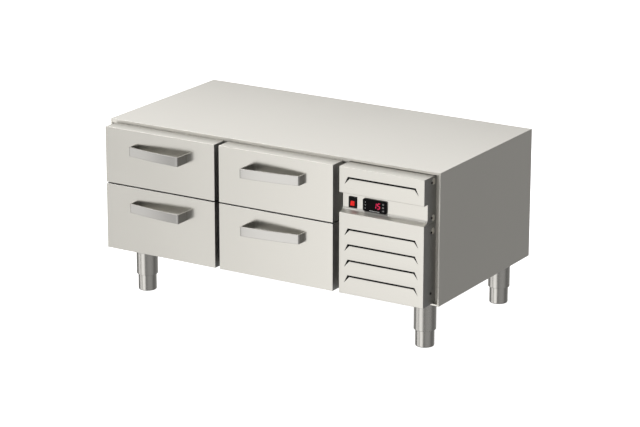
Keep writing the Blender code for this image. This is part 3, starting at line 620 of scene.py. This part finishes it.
def make_back_details():
    """Screws round the back panel."""
    low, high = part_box("back_panel")
    inset = 0.012
    sunk = 0.0002
    across = 7
    places = []
    for i in range(across):
        x = low.x + inset + (high.x - low.x - 2 * inset) * i / (across - 1)
        places += [(x, z) for z in (low.z + inset, high.z - inset)]
    for share in (0.34, 0.66):
        z = low.z + (high.z - low.z) * share
        places += [(x, z) for x in (low.x + inset, high.x - inset)]
    screws = [moved(screw_shape(), (x, high.y - sunk, z), -90, "X") for x, z in places]
    piece("back_screws", merged(screws), screw_steel, "cabinet")


# ---- drawers


def make_drawer_front(row, column):
    """A foamed front: folded skin with soft edges, and an inner panel at the back."""
    node = f"drawer_front_{row}_{column}"
    low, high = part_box(node)
    body = f"drawer_{row}_{column}"
    if row == "upper":
        low.z += ROW_TRIM
    else:
        high.z -= ROW_TRIM
    shape = cuboid(low, high)
    middle_y = (low.y + high.y) / 2
    outer = [e for e in shape.edges if min(v.co.y for v in e.verts) < middle_y]
    round_edges(shape, outer, SOFT_FOLD, 4)
    hem, groove = 0.006, 0.0008
    back = max(shape.faces, key=lambda face: face.normal.y * face.calc_area())
    bmesh.ops.inset_region(shape, faces=[back], thickness=hem, depth=0)
    bmesh.ops.inset_region(shape, faces=[back], thickness=groove, depth=-SHEET)
    # Painted shade: the flanks and the lower row's top and underside take darker steel, and the
    # upper row's underside takes the black gasket rubber, darkening the gap between the rows. The
    # upper row's top takes the ledge steel with its painted light and shade.
    for face in shape.faces:
        if abs(face.normal.x) > 0.9 or face.normal.z < -0.9:
            face.material_index = FLANK
        if face.normal.z < -0.9 and row == "upper":
            face.material_index = ROW_GAP_SHADE
        if face.normal.z > 0.9:
            face.material_index = LEDGE if row == "upper" else FLANK
    # Painted shade: the left column's flanks face the narrow gap between the columns, so they take
    # the darker flange steel.
    flank_painted_shade = flank_steel_painted_shade if column == "right" else flange_steel_painted_shade
    piece(
        f"{node}_skin", shape, steel_x, body, [node],
        more_finishes=(flank_painted_shade, ledge_steel_painted_light_and_shade, rubber),
    )


def make_handle(row, column):
    """Flat bar bent to a shallow and a deep arm, with a bowed grip."""
    node = f"drawer_handle_{row}_{column}"
    low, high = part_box(node)
    bar = 0.004
    bar_edge = 0.0009
    bend = 0.0035
    middle = (low.x + high.x) / 2
    deep = 1 if column == "left" else -1
    half = (high.x - low.x) / 2 - bar / 2
    face = high.y
    shallow = 0.023 - bar / 2 - GAP  # reach of the shallow arm
    reach = high.y - low.y - bar / 2  # and of the deep one
    bow = 0.004
    bow_steps = 14
    path = [(-half, 0.0), (-half, -shallow)]
    for i in range(1, bow_steps):
        t = i / bow_steps
        depth = shallow + (reach - shallow) * t + bow * 4 * t * (1 - t)
        path.append((-half + 2 * half * t, -depth))
    path += [(half, -reach), (half, 0.0)]
    # Only the two corners are bends. The points between them lie on the bow.
    first = rounded(path[:3], bend, 5)
    last = rounded(path[-3:], bend, 5)
    line = [*first[:-1], *[Vector(point) for point in path[2:-2]], *last[1:]]
    outline = ribbon(line, bar)
    shape = loft([[(middle + deep * x, face + y, z) for x, y in outline] for z in (low.z, high.z)])
    # Painted shade on the arms' sides and the faces towards the drawer, painted highlight on the
    # top faces.
    for face in shape.faces:
        if abs(face.normal.x) > 0.8 or face.normal.y > 0.5:
            face.material_index = FLANK
        if face.normal.z > 0.9:
            face.material_index = LEDGE
    round_edges(shape, sharp_edges(shape, 60), bar_edge, 3)
    piece(
        f"{node}_bar", shape, handle_steel, f"drawer_{row}_{column}", [node],
        more_finishes=[handle_flank_painted_shade, handle_rim_painted_highlight],
    )


def ribbon(line, width):
    """The outline of a band of even width along a line."""
    normals = []
    for i, point in enumerate(line):
        before = line[max(i - 1, 0)]
        after = line[min(i + 1, len(line) - 1)]
        along = (after - before).normalized()
        normals.append(Vector((-along.y, along.x)))
    left = [point + normal * width / 2 for point, normal in zip(line, normals)]
    right = [point - normal * width / 2 for point, normal in zip(line, normals)]
    return left + right[::-1]


def make_gasket(row, column):
    """A magnetic gasket: dart, two bellows folds and the magnet's pocket."""
    node = f"drawer_gasket_{row}_{column}"
    low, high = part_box(node)
    width = 0.012
    depth = high.y - low.y
    # (share of the width from inside, share of the depth from the drawer)
    profile = [
        (0.20, 0.0), (0.80, 0.0), (0.84, 0.10), (0.62, 0.20), (0.92, 0.34), (0.66, 0.46),
        (1.0, 0.60), (1.0, 0.94), (0.94, 1.0), (0.06, 1.0), (0.0, 0.94), (0.0, 0.60),
        (0.34, 0.46), (0.08, 0.34), (0.38, 0.20), (0.16, 0.10),
    ]
    loops = []
    for across, along in profile:
        inset = (1 - across) * width
        y = low.y + along * depth
        left, right, bottom, top = low.x + inset, high.x - inset, low.z + inset, high.z - inset
        loops.append([(left, y, bottom), (right, y, bottom), (right, y, top), (left, y, top)])
    shape = loft(loops, "joined")
    made = piece(
        f"{node}_bellows", shape, rubber, f"drawer_{row}_{column}", [node]
    )
    made.data.set_sharp_from_angle(angle=math.radians(25))


def make_drawer_box(row, column):
    """A pressed tray with rounded corners and a rolled rim, on two rails."""
    node = f"drawer_box_{row}_{column}"
    low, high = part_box(node)
    body = f"drawer_{row}_{column}"
    rail = 0.010
    left, right = low.x + rail, high.x - rail
    middle = Vector(((left + right) / 2, (low.y + high.y) / 2))
    width, length = right - left, high.y - low.y
    hem = 0.003
    foot = 0.010
    corner = 0.014
    levels = []
    for i in range(5):
        turn = math.pi / 2 * i / 4
        levels.append((foot * (1 - math.sin(turn)), low.z + foot * (1 - math.cos(turn))))
    levels.append((0.0, high.z - hem))
    for i in range(1, 7):
        turn = math.pi * i / 6
        rise = hem / 2 * math.sin(turn)
        levels.append((hem / 2 * (1 - math.cos(turn)), high.z - hem / 2 + rise))
    loops = []
    for inset, z in levels:
        outline = round_rect(width - 2 * inset, length - 2 * inset, corner - 0.6 * inset)
        loops.append([(middle.x + x, middle.y + y, z) for x, y in outline])
    shape = loft(loops, "open")
    shape.faces.new([v for v in shape.verts if abs(v.co.z - low.z) < WELD])
    facing(shape, (0, 0, -1))
    piece(f"{node}_tray", shape, inner_steel, body, [node], sheet=THICK_SHEET)
    bottom = low.z + 0.0125
    top = bottom + 0.035
    start = low.y + 0.0167
    end = start + 0.500
    rails = []
    for sign, near in ((-1, left), (1, right)):
        far = near + sign * rail
        corners = [(near, bottom), (far, bottom), (far, top), (near, top)]
        channel = swept(rounded(corners, 0.003, 3), "Y", start, end)
        rails.append(facing(channel, (sign, 0, 0)))
    shape = merged(rails)
    piece(f"{node}_rails", shape, zinc, body, sheet=THICK_SHEET)


# ---- machine covers


LOUVRE_TOP_HALF = 0.117  # half the width of a louvre at its slit
LOUVRE_LOW_HALF = 0.129  # and at the line that its flap bends on
LOUVRE_DROP = 0.022
LOUVRE_SLIT = 0.0062
LOUVRE_PUSH = 0.0015
LOUVRE_END_GAP = 0.0052
COVER_LOUVRE = 0.533  # height of the control cover's louvre
GRILLE_LOUVRES = (0.371, 0.3215, 0.272, 0.2225)
SCREW_HEIGHTS = (0.547, 0.438, 0.3925, 0.201)
LUG_HEIGHTS = (0.549, 0.436, 0.396)
COVER_LOW, COVER_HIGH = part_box("control_cover")
GRILLE_LOW, GRILLE_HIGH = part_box("lower_grille")
COVER_MIDDLE = (COVER_LOW.x + COVER_HIGH.x) / 2
STRIP_TOP = 0.48375
STRIP_BOTTOM = 0.430
BEZEL_DEPTH = 0.006
STRIP_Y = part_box("thermostat_housing")[0].y + BEZEL_DEPTH


def louvre_rows(z):
    """One louvre's rows in its sheet: its slit, and the line that its flap bends on."""
    return [
        (FACE_Y, z + LOUVRE_SLIT / 2, LOUVRE_TOP_HALF, True),
        (FACE_Y, z - LOUVRE_DROP, LOUVRE_LOW_HALF, False),
    ]


def louvred_tray(rows, x_low, x_high):
    """A folded sheet with lanced louvres and a side flange at each end, open at the back."""
    shape = bmesh.new()
    grid = []
    for y, z, half, _ in rows:
        stations = (x_low, COVER_MIDDLE - half, COVER_MIDDLE + half, x_high)
        grid.append([shape.verts.new((x, y, z)) for x in stations])
    for index, (first, second) in enumerate(zip(grid, grid[1:])):
        y, z, half, lanced = rows[index]
        for column in range(3):
            if column == 1 and lanced:
                shape.faces.new(flap(shape, y, z, half, second, rows[index + 1]))
                continue
            shape.faces.new(
                (first[column], first[column + 1], second[column + 1], second[column])
            )
    # Painted shade: the side flanges take the darker flange steel.
    for side in (0, 3):
        flange = shape.faces.new([row[side] for row in grid])
        flange.material_index = FLANK
    facing(shape, (0, -1, 0))
    # Upward faces take the ledge steel, with its painted light and shade.
    for face in shape.faces:
        if face.normal.z > 0.5:
            face.material_index = LEDGE
    return shape


def flap(shape, y, z, half, hinge, hinge_row):
    """A louvre's flap: it bends in on its hinge line, and its upper part curves to upright."""
    bend_share = 0.72  # where the curve starts, from the hinge up
    bend_push = 0.92
    low_z = hinge_row[1]
    top_z = z - LOUVRE_SLIT
    bend_z = low_z + (top_z - low_z) * bend_share
    bend_y = y + LOUVRE_PUSH * bend_push
    end_gap = LOUVRE_END_GAP * bend_share
    bend_half = hinge_row[2] + (half - hinge_row[2]) * bend_share - end_gap
    bend = [shape.verts.new((COVER_MIDDLE + s * bend_half, bend_y, bend_z)) for s in (-1, 1)]
    top_half = half - LOUVRE_END_GAP
    top = [
        shape.verts.new((COVER_MIDDLE + s * top_half, y + LOUVRE_PUSH, top_z)) for s in (-1, 1)
    ]
    shape.faces.new((bend[0], bend[1], hinge[2], hinge[1]))
    return (top[0], top[1], bend[1], bend[0])


def make_cover(node, rows):
    low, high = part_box(node)
    return piece(
        f"{node}_sheet", louvred_tray(rows, low.x, high.x), soft_steel, "cabinet",
        [node], fold=FOLD, sheet=SHEET,
        more_finishes=(flange_steel_painted_shade, ledge_steel_painted_light_and_shade),
    )


def make_covers():
    """The control cover above and the louvred grille below."""
    back = COVER_HIGH.y
    strip_y = STRIP_Y + GAP
    plain = LOUVRE_TOP_HALF
    hollow = [(strip_y, STRIP_TOP), (strip_y, STRIP_BOTTOM), (FACE_Y, COVER_LOW.z)]
    rows = [
        (back, COVER_HIGH.z, plain, False),
        (FACE_Y, COVER_HIGH.z, plain, False),
        *louvre_rows(COVER_LOUVRE),
        (FACE_Y, STRIP_TOP, plain, False),
        *[(y, z, plain, False) for y, z in rounded(hollow, 0.012, 6)],
        (back, COVER_LOW.z, plain, False),
    ]
    cover = make_cover("control_cover", rows)
    # The rocker tilts through an opening of the sheet.
    ahead, behind = 0.002, 0.004
    side, rise = 0.0008, 0.0010
    carve(cover, [opening("switch_rocker", STRIP_Y - ahead, STRIP_Y + behind, side, rise)])
    rows = [(back, GRILLE_HIGH.z, plain, False), (FACE_Y, GRILLE_HIGH.z, plain, False)]
    for z in GRILLE_LOUVRES:
        rows += louvre_rows(z)
    rows += [(FACE_Y, GRILLE_LOW.z, plain, False), (back, GRILLE_LOW.z, plain, False)]
    make_cover("lower_grille", rows)


def make_cover_fixings():
    """Screws in the covers' side flanges, and a fixing lug behind all but the lowest."""
    screws = []
    lugs = []
    screw_y = RIM_Y - 0.0145
    lug_y = screw_y + 0.010
    sunk = 0.0004
    for sign, x in ((-1, COVER_LOW.x), (1, COVER_HIGH.x)):
        for z in SCREW_HEIGHTS:
            screws.append(moved(screw_shape(0.0042, 0.0020), (x, screw_y, z), sign * 90, "Y"))
        for z in LUG_HEIGHTS:
            lug = plate(0.016, 0.020, corner=0.0065, depth=SHEET, edge=0.0004)
            moved(lug, angle=sign * 90, axis="Z")
            lugs.append(moved(lug, (x - sign * sunk, lug_y, z)))
    piece("cover_screws", merged(screws), dark_screw, "cabinet")
    # Painted highlight: the lugs take the brighter rim steel.
    piece("cover_lugs", merged(lugs), rim_steel_painted_light, "cabinet")


def make_shade_filters():
    """Pleated dark foam behind the louvres, a guessed filter whose black paints the shade seen
    through the slits.
    """
    inner = 0.004
    front = FACE_Y + 0.009
    pleat = 0.006
    pleat_depth = 0.003
    sheets = []
    for low_z, high_z in ((GRILLE_LOW.z, GRILLE_HIGH.z), (STRIP_TOP, COVER_HIGH.z)):
        low_z += inner
        high_z -= inner
        folds = int((high_z - low_z) / pleat)
        path = [(front + pleat_depth * (i % 2), low_z + pleat * i) for i in range(folds + 1)]
        sheet = swept(path, "X", COVER_LOW.x + inner, COVER_HIGH.x - inner)
        sheets.append(facing(sheet, (0, -1, 0)))
    piece("louvre_filters_painted_shade", merged(sheets), filter_foam_painted_shade, "cabinet", sheet=0.001)


# ---- controls


def carve(made, cutters):
    """Cuts shapes from a piece for good."""
    tools = []
    for number, cutter in enumerate(cutters):
        tool = solid(f"cutter_{number}", cutter)
        step = made.modifiers.new(f"cut_{number}", "BOOLEAN")
        step.object = tool
        step.solver = "EXACT"
        tools.append(tool)
    weights = made.modifiers.get("normals")
    if weights:
        made.modifiers.remove(weights)
    bpy.context.view_layer.update()
    evaluated = made.evaluated_get(bpy.context.evaluated_depsgraph_get())
    mesh = bpy.data.meshes.new_from_object(evaluated)
    made.modifiers.clear()
    made.data = mesh
    for tool in tools:
        bpy.data.objects.remove(tool)
    weigh(made)


SEGMENTS = {"1": "bc", "5": "afgcd"}
SEGMENT_THICK = 0.0027
SEGMENT_SPACE = 0.0002
SEGMENT_DEPTH = 0.0003
SIGN_HEIGHTS = (0.4616, 0.4527, 0.4430)
KEYS = ("up", "set", "down")


def digit_shape(figure, place, width, height, slant):
    """A seven-segment figure that faces -Y, with its lower left corner at a place."""
    middle = height / 2
    lines = {
        "a": ((0, height), (width, height)),
        "b": ((width, middle), (width, height)),
        "c": ((width, 0), (width, middle)),
        "d": ((0, 0), (width, 0)),
        "f": ((0, middle), (0, height)),
        "g": ((0, middle), (width, middle)),
    }
    bars = []
    for name in SEGMENTS[figure]:
        start, end = (Vector(point) for point in lines[name])
        along = (end - start).normalized()
        across = Vector((-along.y, along.x)) * SEGMENT_THICK / 2
        start, end = start + along * SEGMENT_SPACE, end - along * SEGMENT_SPACE
        inner = along * SEGMENT_THICK / 2
        outline = [
            start, start + inner + across, end - inner + across,
            end, end - inner - across, start + inner - across,
        ]
        outline = [(point.x + point.y * slant, point.y) for point in outline]
        bars.append(relief(outline, place, 0.0, SEGMENT_DEPTH))
    return merged(bars)


def relief(outline, place, rise, depth):
    """An (x, z) outline about a place, from a rise in front of it to a depth behind it."""
    x, y, z = place
    return loft([[(x + u, y + off, z + v) for u, v in outline] for off in (-rise, depth)])


def mark(outline, place):
    """A thin printed mark that faces -Y."""
    return relief(outline, place, 0.00008, 0.0001)


def star(points, outer, inner):
    """The outline of a small star, as for a snowflake sign."""
    made = []
    for i in range(2 * points):
        radius = outer if i % 2 == 0 else inner
        turn = math.pi * i / points
        made.append((radius * math.cos(turn), radius * math.sin(turn)))
    return made


def middle_of(low, high, y):
    """The middle of a box in X and Z, at a given Y."""
    return Vector(((low.x + high.x) / 2, y, (low.z + high.z) / 2))


def opening(node, front, back, side, rise):
    """A cutter with a node's outline and some room round it, from one depth to another."""
    low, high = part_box(node)
    return cuboid((low.x - side, front, low.z - rise), (high.x + side, back, high.z + rise))


def make_thermostat():
    """A glossy housing with a display window, three keys and small printed signs."""
    low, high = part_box("thermostat_housing")
    middle = middle_of(low, high, STRIP_Y)
    face = low.y
    width, height = high.x - low.x, high.z - low.z
    bezel = plate(width, height, corner=0.0055, depth=STRIP_Y - face, edge=0.0018)
    body_width, body_height, body_depth = 0.071, 0.029, high.y - STRIP_Y
    body = plate(body_width, body_height, corner=0.002, depth=body_depth, edge=0.0005)
    moved(body, (0, body_depth, 0))
    housing = piece(
        "thermostat_bezel", moved(bezel, middle), gloss_black, "cabinet",
        ["thermostat_housing"],
    )
    before = face - 0.001
    window_depth, window_room = 0.0022, 0.0002
    key_depth = 0.004
    pockets = [opening("display_window", before, face + window_depth, window_room, window_room)]
    for key in KEYS:
        pockets.append(opening(f"key_{key}", before, face + key_depth, GAP, GAP))
    carve(housing, pockets)
    piece("thermostat_body", moved(body, middle), black_plastic, "cabinet")

    window_low, window_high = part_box("display_window")
    width, height = window_high.x - window_low.x, window_high.z - window_low.z
    pane = plate(width, height, corner=0.0012, depth=0.0020, edge=0.0004)
    centre = middle_of(window_low, window_high, window_high.y)
    piece(
        "display_lens", moved(pane, centre), lens, "cabinet",
        ["display_window"],
    )
    digit_y = window_low.y - 0.0001
    digit_height = 0.0170
    digit_width = 0.0080
    digit_step = 0.0131
    digit_x = window_high.x - 0.0243
    digit_z = centre.z - digit_height / 2 + 0.0022
    slant = math.tan(math.radians(9))
    digits = []
    for number, figure in enumerate("15"):
        place = (digit_x + digit_step * number, digit_y, digit_z)
        digits.append(digit_shape(figure, place, digit_width, digit_height, slant))
    piece("display_digits", merged(digits), red_light, "cabinet")

    marks = [mark(star(6, 0.0019, 0.0008), (low.x + 0.0095, face, z)) for z in SIGN_HEIGHTS]
    line_low, line_high = window_low.x + 0.008, window_high.x - 0.003
    length, thick = line_high - line_low, 0.0016
    line = [(0, 0), (length, 0), (length, thick), (0, thick)]
    marks.append(mark(line, (line_low, face, low.z + 0.0030)))
    piece("thermostat_marks", merged(marks), white_ink, "cabinet")

    half, base, tip, corner = 0.0022, 0.0014, 0.0018, 0.0016
    signs = {
        "up": [(-half, -base), (half, -base), (0, tip)],
        "set": [(-corner, -corner), (corner, -corner), (corner, corner), (-corner, corner)],
        "down": [(-half, base), (0, -tip), (half, base)],
    }
    for key in KEYS:
        low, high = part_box(f"key_{key}")
        width, depth, height = high - low
        pad = plate(width, height, corner=0.0020, depth=depth, edge=0.0007)
        moved(pad, middle_of(low, high, high.y))
        piece(f"key_{key}_pad", pad, key_rubber, f"key_{key}", [f"key_{key}"])
        sign = mark(signs[key], middle_of(low, high, low.y))
        piece(f"key_{key}_mark", sign, white_ink, f"key_{key}")


def make_switch():
    """Rocker switch: a bezel with a deep mouth, and a lit lens that tilts in it."""
    low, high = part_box("switch_housing")
    middle = middle_of(low, high, STRIP_Y)
    width, height = high.x - low.x, high.z - low.z
    bezel = plate(width, height, corner=0.0022, depth=STRIP_Y - low.y, edge=0.0010)
    housing = piece(
        "switch_bezel", moved(bezel, middle), black_plastic, "cabinet",
        ["switch_housing"],
    )
    side, rise = 0.0005, 0.0008
    past = 0.01
    mouth_depth = 0.016
    carve(housing, [opening("switch_rocker", low.y - past, STRIP_Y + past, side, rise)])
    wall = 0.003
    body_low = (low.x + wall, STRIP_Y, low.z + wall)
    body_high = (high.x - wall, high.y, high.z - wall)
    body = piece("switch_body", cuboid(body_low, body_high, 0.0008), black_plastic, "cabinet")
    carve(body, [opening("switch_rocker", STRIP_Y - past, STRIP_Y + mouth_depth, side, rise)])

    rocker_low, rocker_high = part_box("switch_rocker")
    half_z = (rocker_high.z - rocker_low.z) / 2
    # The two faces of the rocker meet at an angle, and the lower one stands proud.
    reach = half_z * math.tan(math.radians(9))
    profile = [
        (-0.0015 - 0.5 * reach, 0.0),
        (-0.001 - 2.4 * reach, -half_z * 0.96),
        (0.004, -half_z * 0.80),
        (0.007, 0.0),
        (0.004, half_z * 0.80),
        (-0.001, half_z * 0.96),
    ]
    path = rounded([*profile, profile[0]], 0.0008, 2)[:-1]
    ends = (rocker_low.x, rocker_high.x)
    shape = loft([[(x, STRIP_Y + y, middle.z + z) for y, z in path] for x in ends])
    round_edges(shape, sharp_edges(shape, 70), 0.0005, 2)
    # Only the part below this edge is lit. The rest is as black as the housing.
    edge = middle.z + 0.36 * half_z
    bmesh.ops.bisect_plane(
        shape, geom=[*shape.verts, *shape.edges, *shape.faces],
        plane_co=(middle.x, STRIP_Y, edge), plane_no=(0, 0, 1),
    )
    for face in shape.faces:
        if face.calc_center_median().z > edge:
            face.material_index = UNLIT
    piece(
        "switch_lens", shape, red_lens, "switch_rocker", ["switch_rocker"],
        more_finishes=(black_plastic,),
    )


# ---- legs


def make_legs():
    """Tube legs with a thick sole, and feet whose stems screw out of it."""
    wall = 0.0015
    bore = 0.0105
    sole = 0.006
    stem = 0.0100
    stem_edge = 0.0015
    rim = 0.0016
    for end, side in FEET:
        low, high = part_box(f"leg_{end}_{side}")
        centre = Vector(((low.x + high.x) / 2, (low.y + high.y) / 2, 0))
        radius = (high.x - low.x) / 2
        # Its lower edge is rounded.
        tube = [
            (bore, low.z),
            (radius - 0.0012, low.z),
            (radius - 0.0004, low.z + 0.0004),
            (radius, low.z + 0.0014),
            (radius, high.z),
            (radius - wall, high.z),
            (radius - wall, low.z + sole),
            (bore, low.z + sole),
        ]
        tube = moved(lathe(tube, 64), centre)
        piece(
            f"leg_{end}_{side}_tube", tube, steel_z, "cabinet",
            [f"leg_{end}_{side}"],
        )
        foot_low, foot_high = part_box(f"foot_{end}_{side}")
        radius = (foot_high.x - foot_low.x) / 2
        top = low.z - GAP
        foot = [
            (0, foot_low.z),
            (radius - 0.0035, foot_low.z),
            (radius - 0.0012, foot_low.z + 0.0008),
            (radius, foot_low.z + 0.0035),
            (radius, top - rim),
            (radius - rim, top),
            (bore, top),
            (stem, top + 0.001),
            (stem, foot_high.z - stem_edge),
            (stem - stem_edge, foot_high.z),
            (0, foot_high.z),
        ]
        foot = moved(lathe(foot, 64), centre)
        piece(
            f"foot_{end}_{side}_cup", foot, foot_steel, f"foot_{end}_{side}",
            [f"foot_{end}_{side}"],
        )


# ---- carried-over nodes


def finish_node(name, finish, edge=0.0):
    """A finish for a CAD node that is shown as it is, with its sharp edges softened."""
    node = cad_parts[name]
    node.data.materials.clear()
    node.data.materials.append(finish)
    node.data.shade_smooth()
    if edge:
        soften(node, "soft_edges", edge, 2, 40)
    weigh(node)


NODE_FINISHES = (
    # Painted light: the front frame takes a brighter, rougher steel.
    ("front_frame", frame_steel_painted_light, 0.0003),
    ("back_panel", zinc, 0.0003),
    ("cold_chamber", lining, 0.002),
    ("condenser_fan_shroud", black_paint, 0.0006),
    ("condenser_coil", aluminium, 0.0),
    ("condenser_fan", black_plastic, 0.0005),
    ("compressor", black_paint, 0.001),
    ("evaporator_coil", aluminium, 0.0),
    ("evaporator_fan", black_plastic, 0.0005),
    ("evaporator_fan_motor", zinc, 0.0005),
    ("cable_gland", black_plastic, 0.0005),
)


def finish_nodes():
    for entry in NODE_FINISHES:
        finish_node(*entry)
    for column in COLUMNS:
        for side in ("outer", "inner"):
            finish_node(f"runner_frame_{column}_{side}", zinc, 0.0004)
            for row in ROWS:
                finish_node(f"slide_member_{row}_{column}_{side}", zinc, 0.0004)


# ---- stage


def make_camera():
    camera = bpy.data.cameras.new("camera")
    camera.lens = CAMERA_LENS
    camera.sensor_width = CAMERA_SENSOR
    camera.clip_end = 100
    holder = placed("camera", camera)
    holder.location = CAMERA_PLACE
    holder.rotation_euler = [math.radians(angle) for angle in CAMERA_TURN]
    bpy.context.scene.camera = holder


def make_floor():
    """A pale floor that fills the view. Its own soft glow keeps the shadows on it faint."""
    shape = bmesh.new()
    bmesh.ops.create_grid(shape, x_segments=2, y_segments=2, size=FLOOR_SIZE / 2)
    finish = surface(
        "pale_floor", (0.85, 0.85, 0.85), 0.9, Specular_IOR_Level=0.0,
        Emission_Color=(1, 1, 1, 1), Emission_Strength=1.0,
    )
    cloud = pattern(finish, 0.4, detail=1.0)
    connect(finish, "Base Color", tint(finish, cloud, (0.83, 0.83, 0.83), (0.86, 0.86, 0.86)))
    floor = solid("floor", shape, finish)
    floor.visible_glossy = False
    floor.visible_diffuse = False


def make_world():
    """Studio surroundings: a bright front left, a darker right, a bright rear left above."""
    world = bpy.data.worlds.new("studio")
    world.use_nodes = True
    bpy.context.scene.world = world
    links = world.node_tree.links

    def vector_step(operation, source, second=None):
        step = add_node(world, "ShaderNodeVectorMath", [("Vector", source)], operation=operation)
        if second is not None:
            step.inputs[1].default_value = second
        return step.outputs

    sky = add_node(world, "ShaderNodeTexCoord").outputs["Generated"]
    # The directions are flattened, so that each lobe of light is taller than it is wide.
    flat = vector_step("MULTIPLY", sky, (1.0, 1.0, WORLD_FLATTEN))["Vector"]
    direction = vector_step("NORMALIZE", flat)["Vector"]
    total = None
    for azimuth, elevation, inner, outer, level in WORLD_LOBES:
        turn, rise = math.radians(azimuth), math.tan(math.radians(elevation)) * WORLD_FLATTEN
        axis = Vector((math.sin(turn), -math.cos(turn), rise)).normalized()
        dot = vector_step("DOT_PRODUCT", direction, axis)["Value"]
        edge, core = math.cos(math.radians(outer)), math.cos(math.radians(inner))
        lobe = spread(world, dot, 0.0, level, edge, core)
        lobe.node.interpolation_type = "SMOOTHSTEP"
        plus = add_node(world, "ShaderNodeMath", operation="ADD")
        plus.inputs[0].default_value = WORLD_BASE
        if total:
            links.new(total, plus.inputs[0])
        links.new(lobe, plus.inputs[1])
        total = plus.outputs[0]
    background = world.node_tree.nodes["Background"]
    links.new(total, background.inputs["Strength"])
    background.inputs["Color"].default_value = LIGHT_COLOUR


def make_card():
    """A pale card behind, above the top's height. It brightens upwards, and only metal sees it."""
    (low_x, low_z), (high_x, high_z) = CARD_LOW, CARD_HIGH
    corners = [(low_x, low_z), (high_x, low_z), (high_x, high_z), (low_x, high_z)]
    shape = bmesh.new()
    shape.faces.new([shape.verts.new((x, CARD_Y, z)) for x, z in corners])
    finish = surface(
        "card_glow", (0.0, 0.0, 0.0), 1.0, Specular_IOR_Level=0.0, Emission_Color=LIGHT_COLOUR
    )
    level = spread(finish, place_along(finish, "Z"), *CARD_LEVELS, *CARD_HEIGHTS)
    connect(finish, "Emission Strength", level)
    card = solid("card", shape, finish)
    card.visible_camera = False
    card.visible_diffuse = False
    card.visible_shadow = False


def make_lights():
    """One large soft light from the front left, above the fridge."""
    light = bpy.data.lights.new("soft_key", "AREA")
    light.shape = "RECTANGLE"
    light.size = 3.0
    light.size_y = 2.0
    light.energy = 60.0
    holder = placed("soft_key", light)
    holder.location = KEY_PLACE
    aim = Vector(KEY_AIM) - Vector(KEY_PLACE)
    holder.rotation_euler = aim.to_track_quat("-Z", "Y").to_euler()


make_camera()
make_floor()
make_world()
make_card()
make_lights()
bpy.context.scene.view_settings.view_transform = "Standard"

make_worktop()
make_side_panels()
make_base()
make_back_details()
for drawer in DRAWERS:
    make_drawer_front(*drawer)
    make_handle(*drawer)
    make_gasket(*drawer)
    make_drawer_box(*drawer)
make_covers()
make_cover_fixings()
make_shade_filters()
make_thermostat()
make_switch()
make_legs()
finish_nodes()
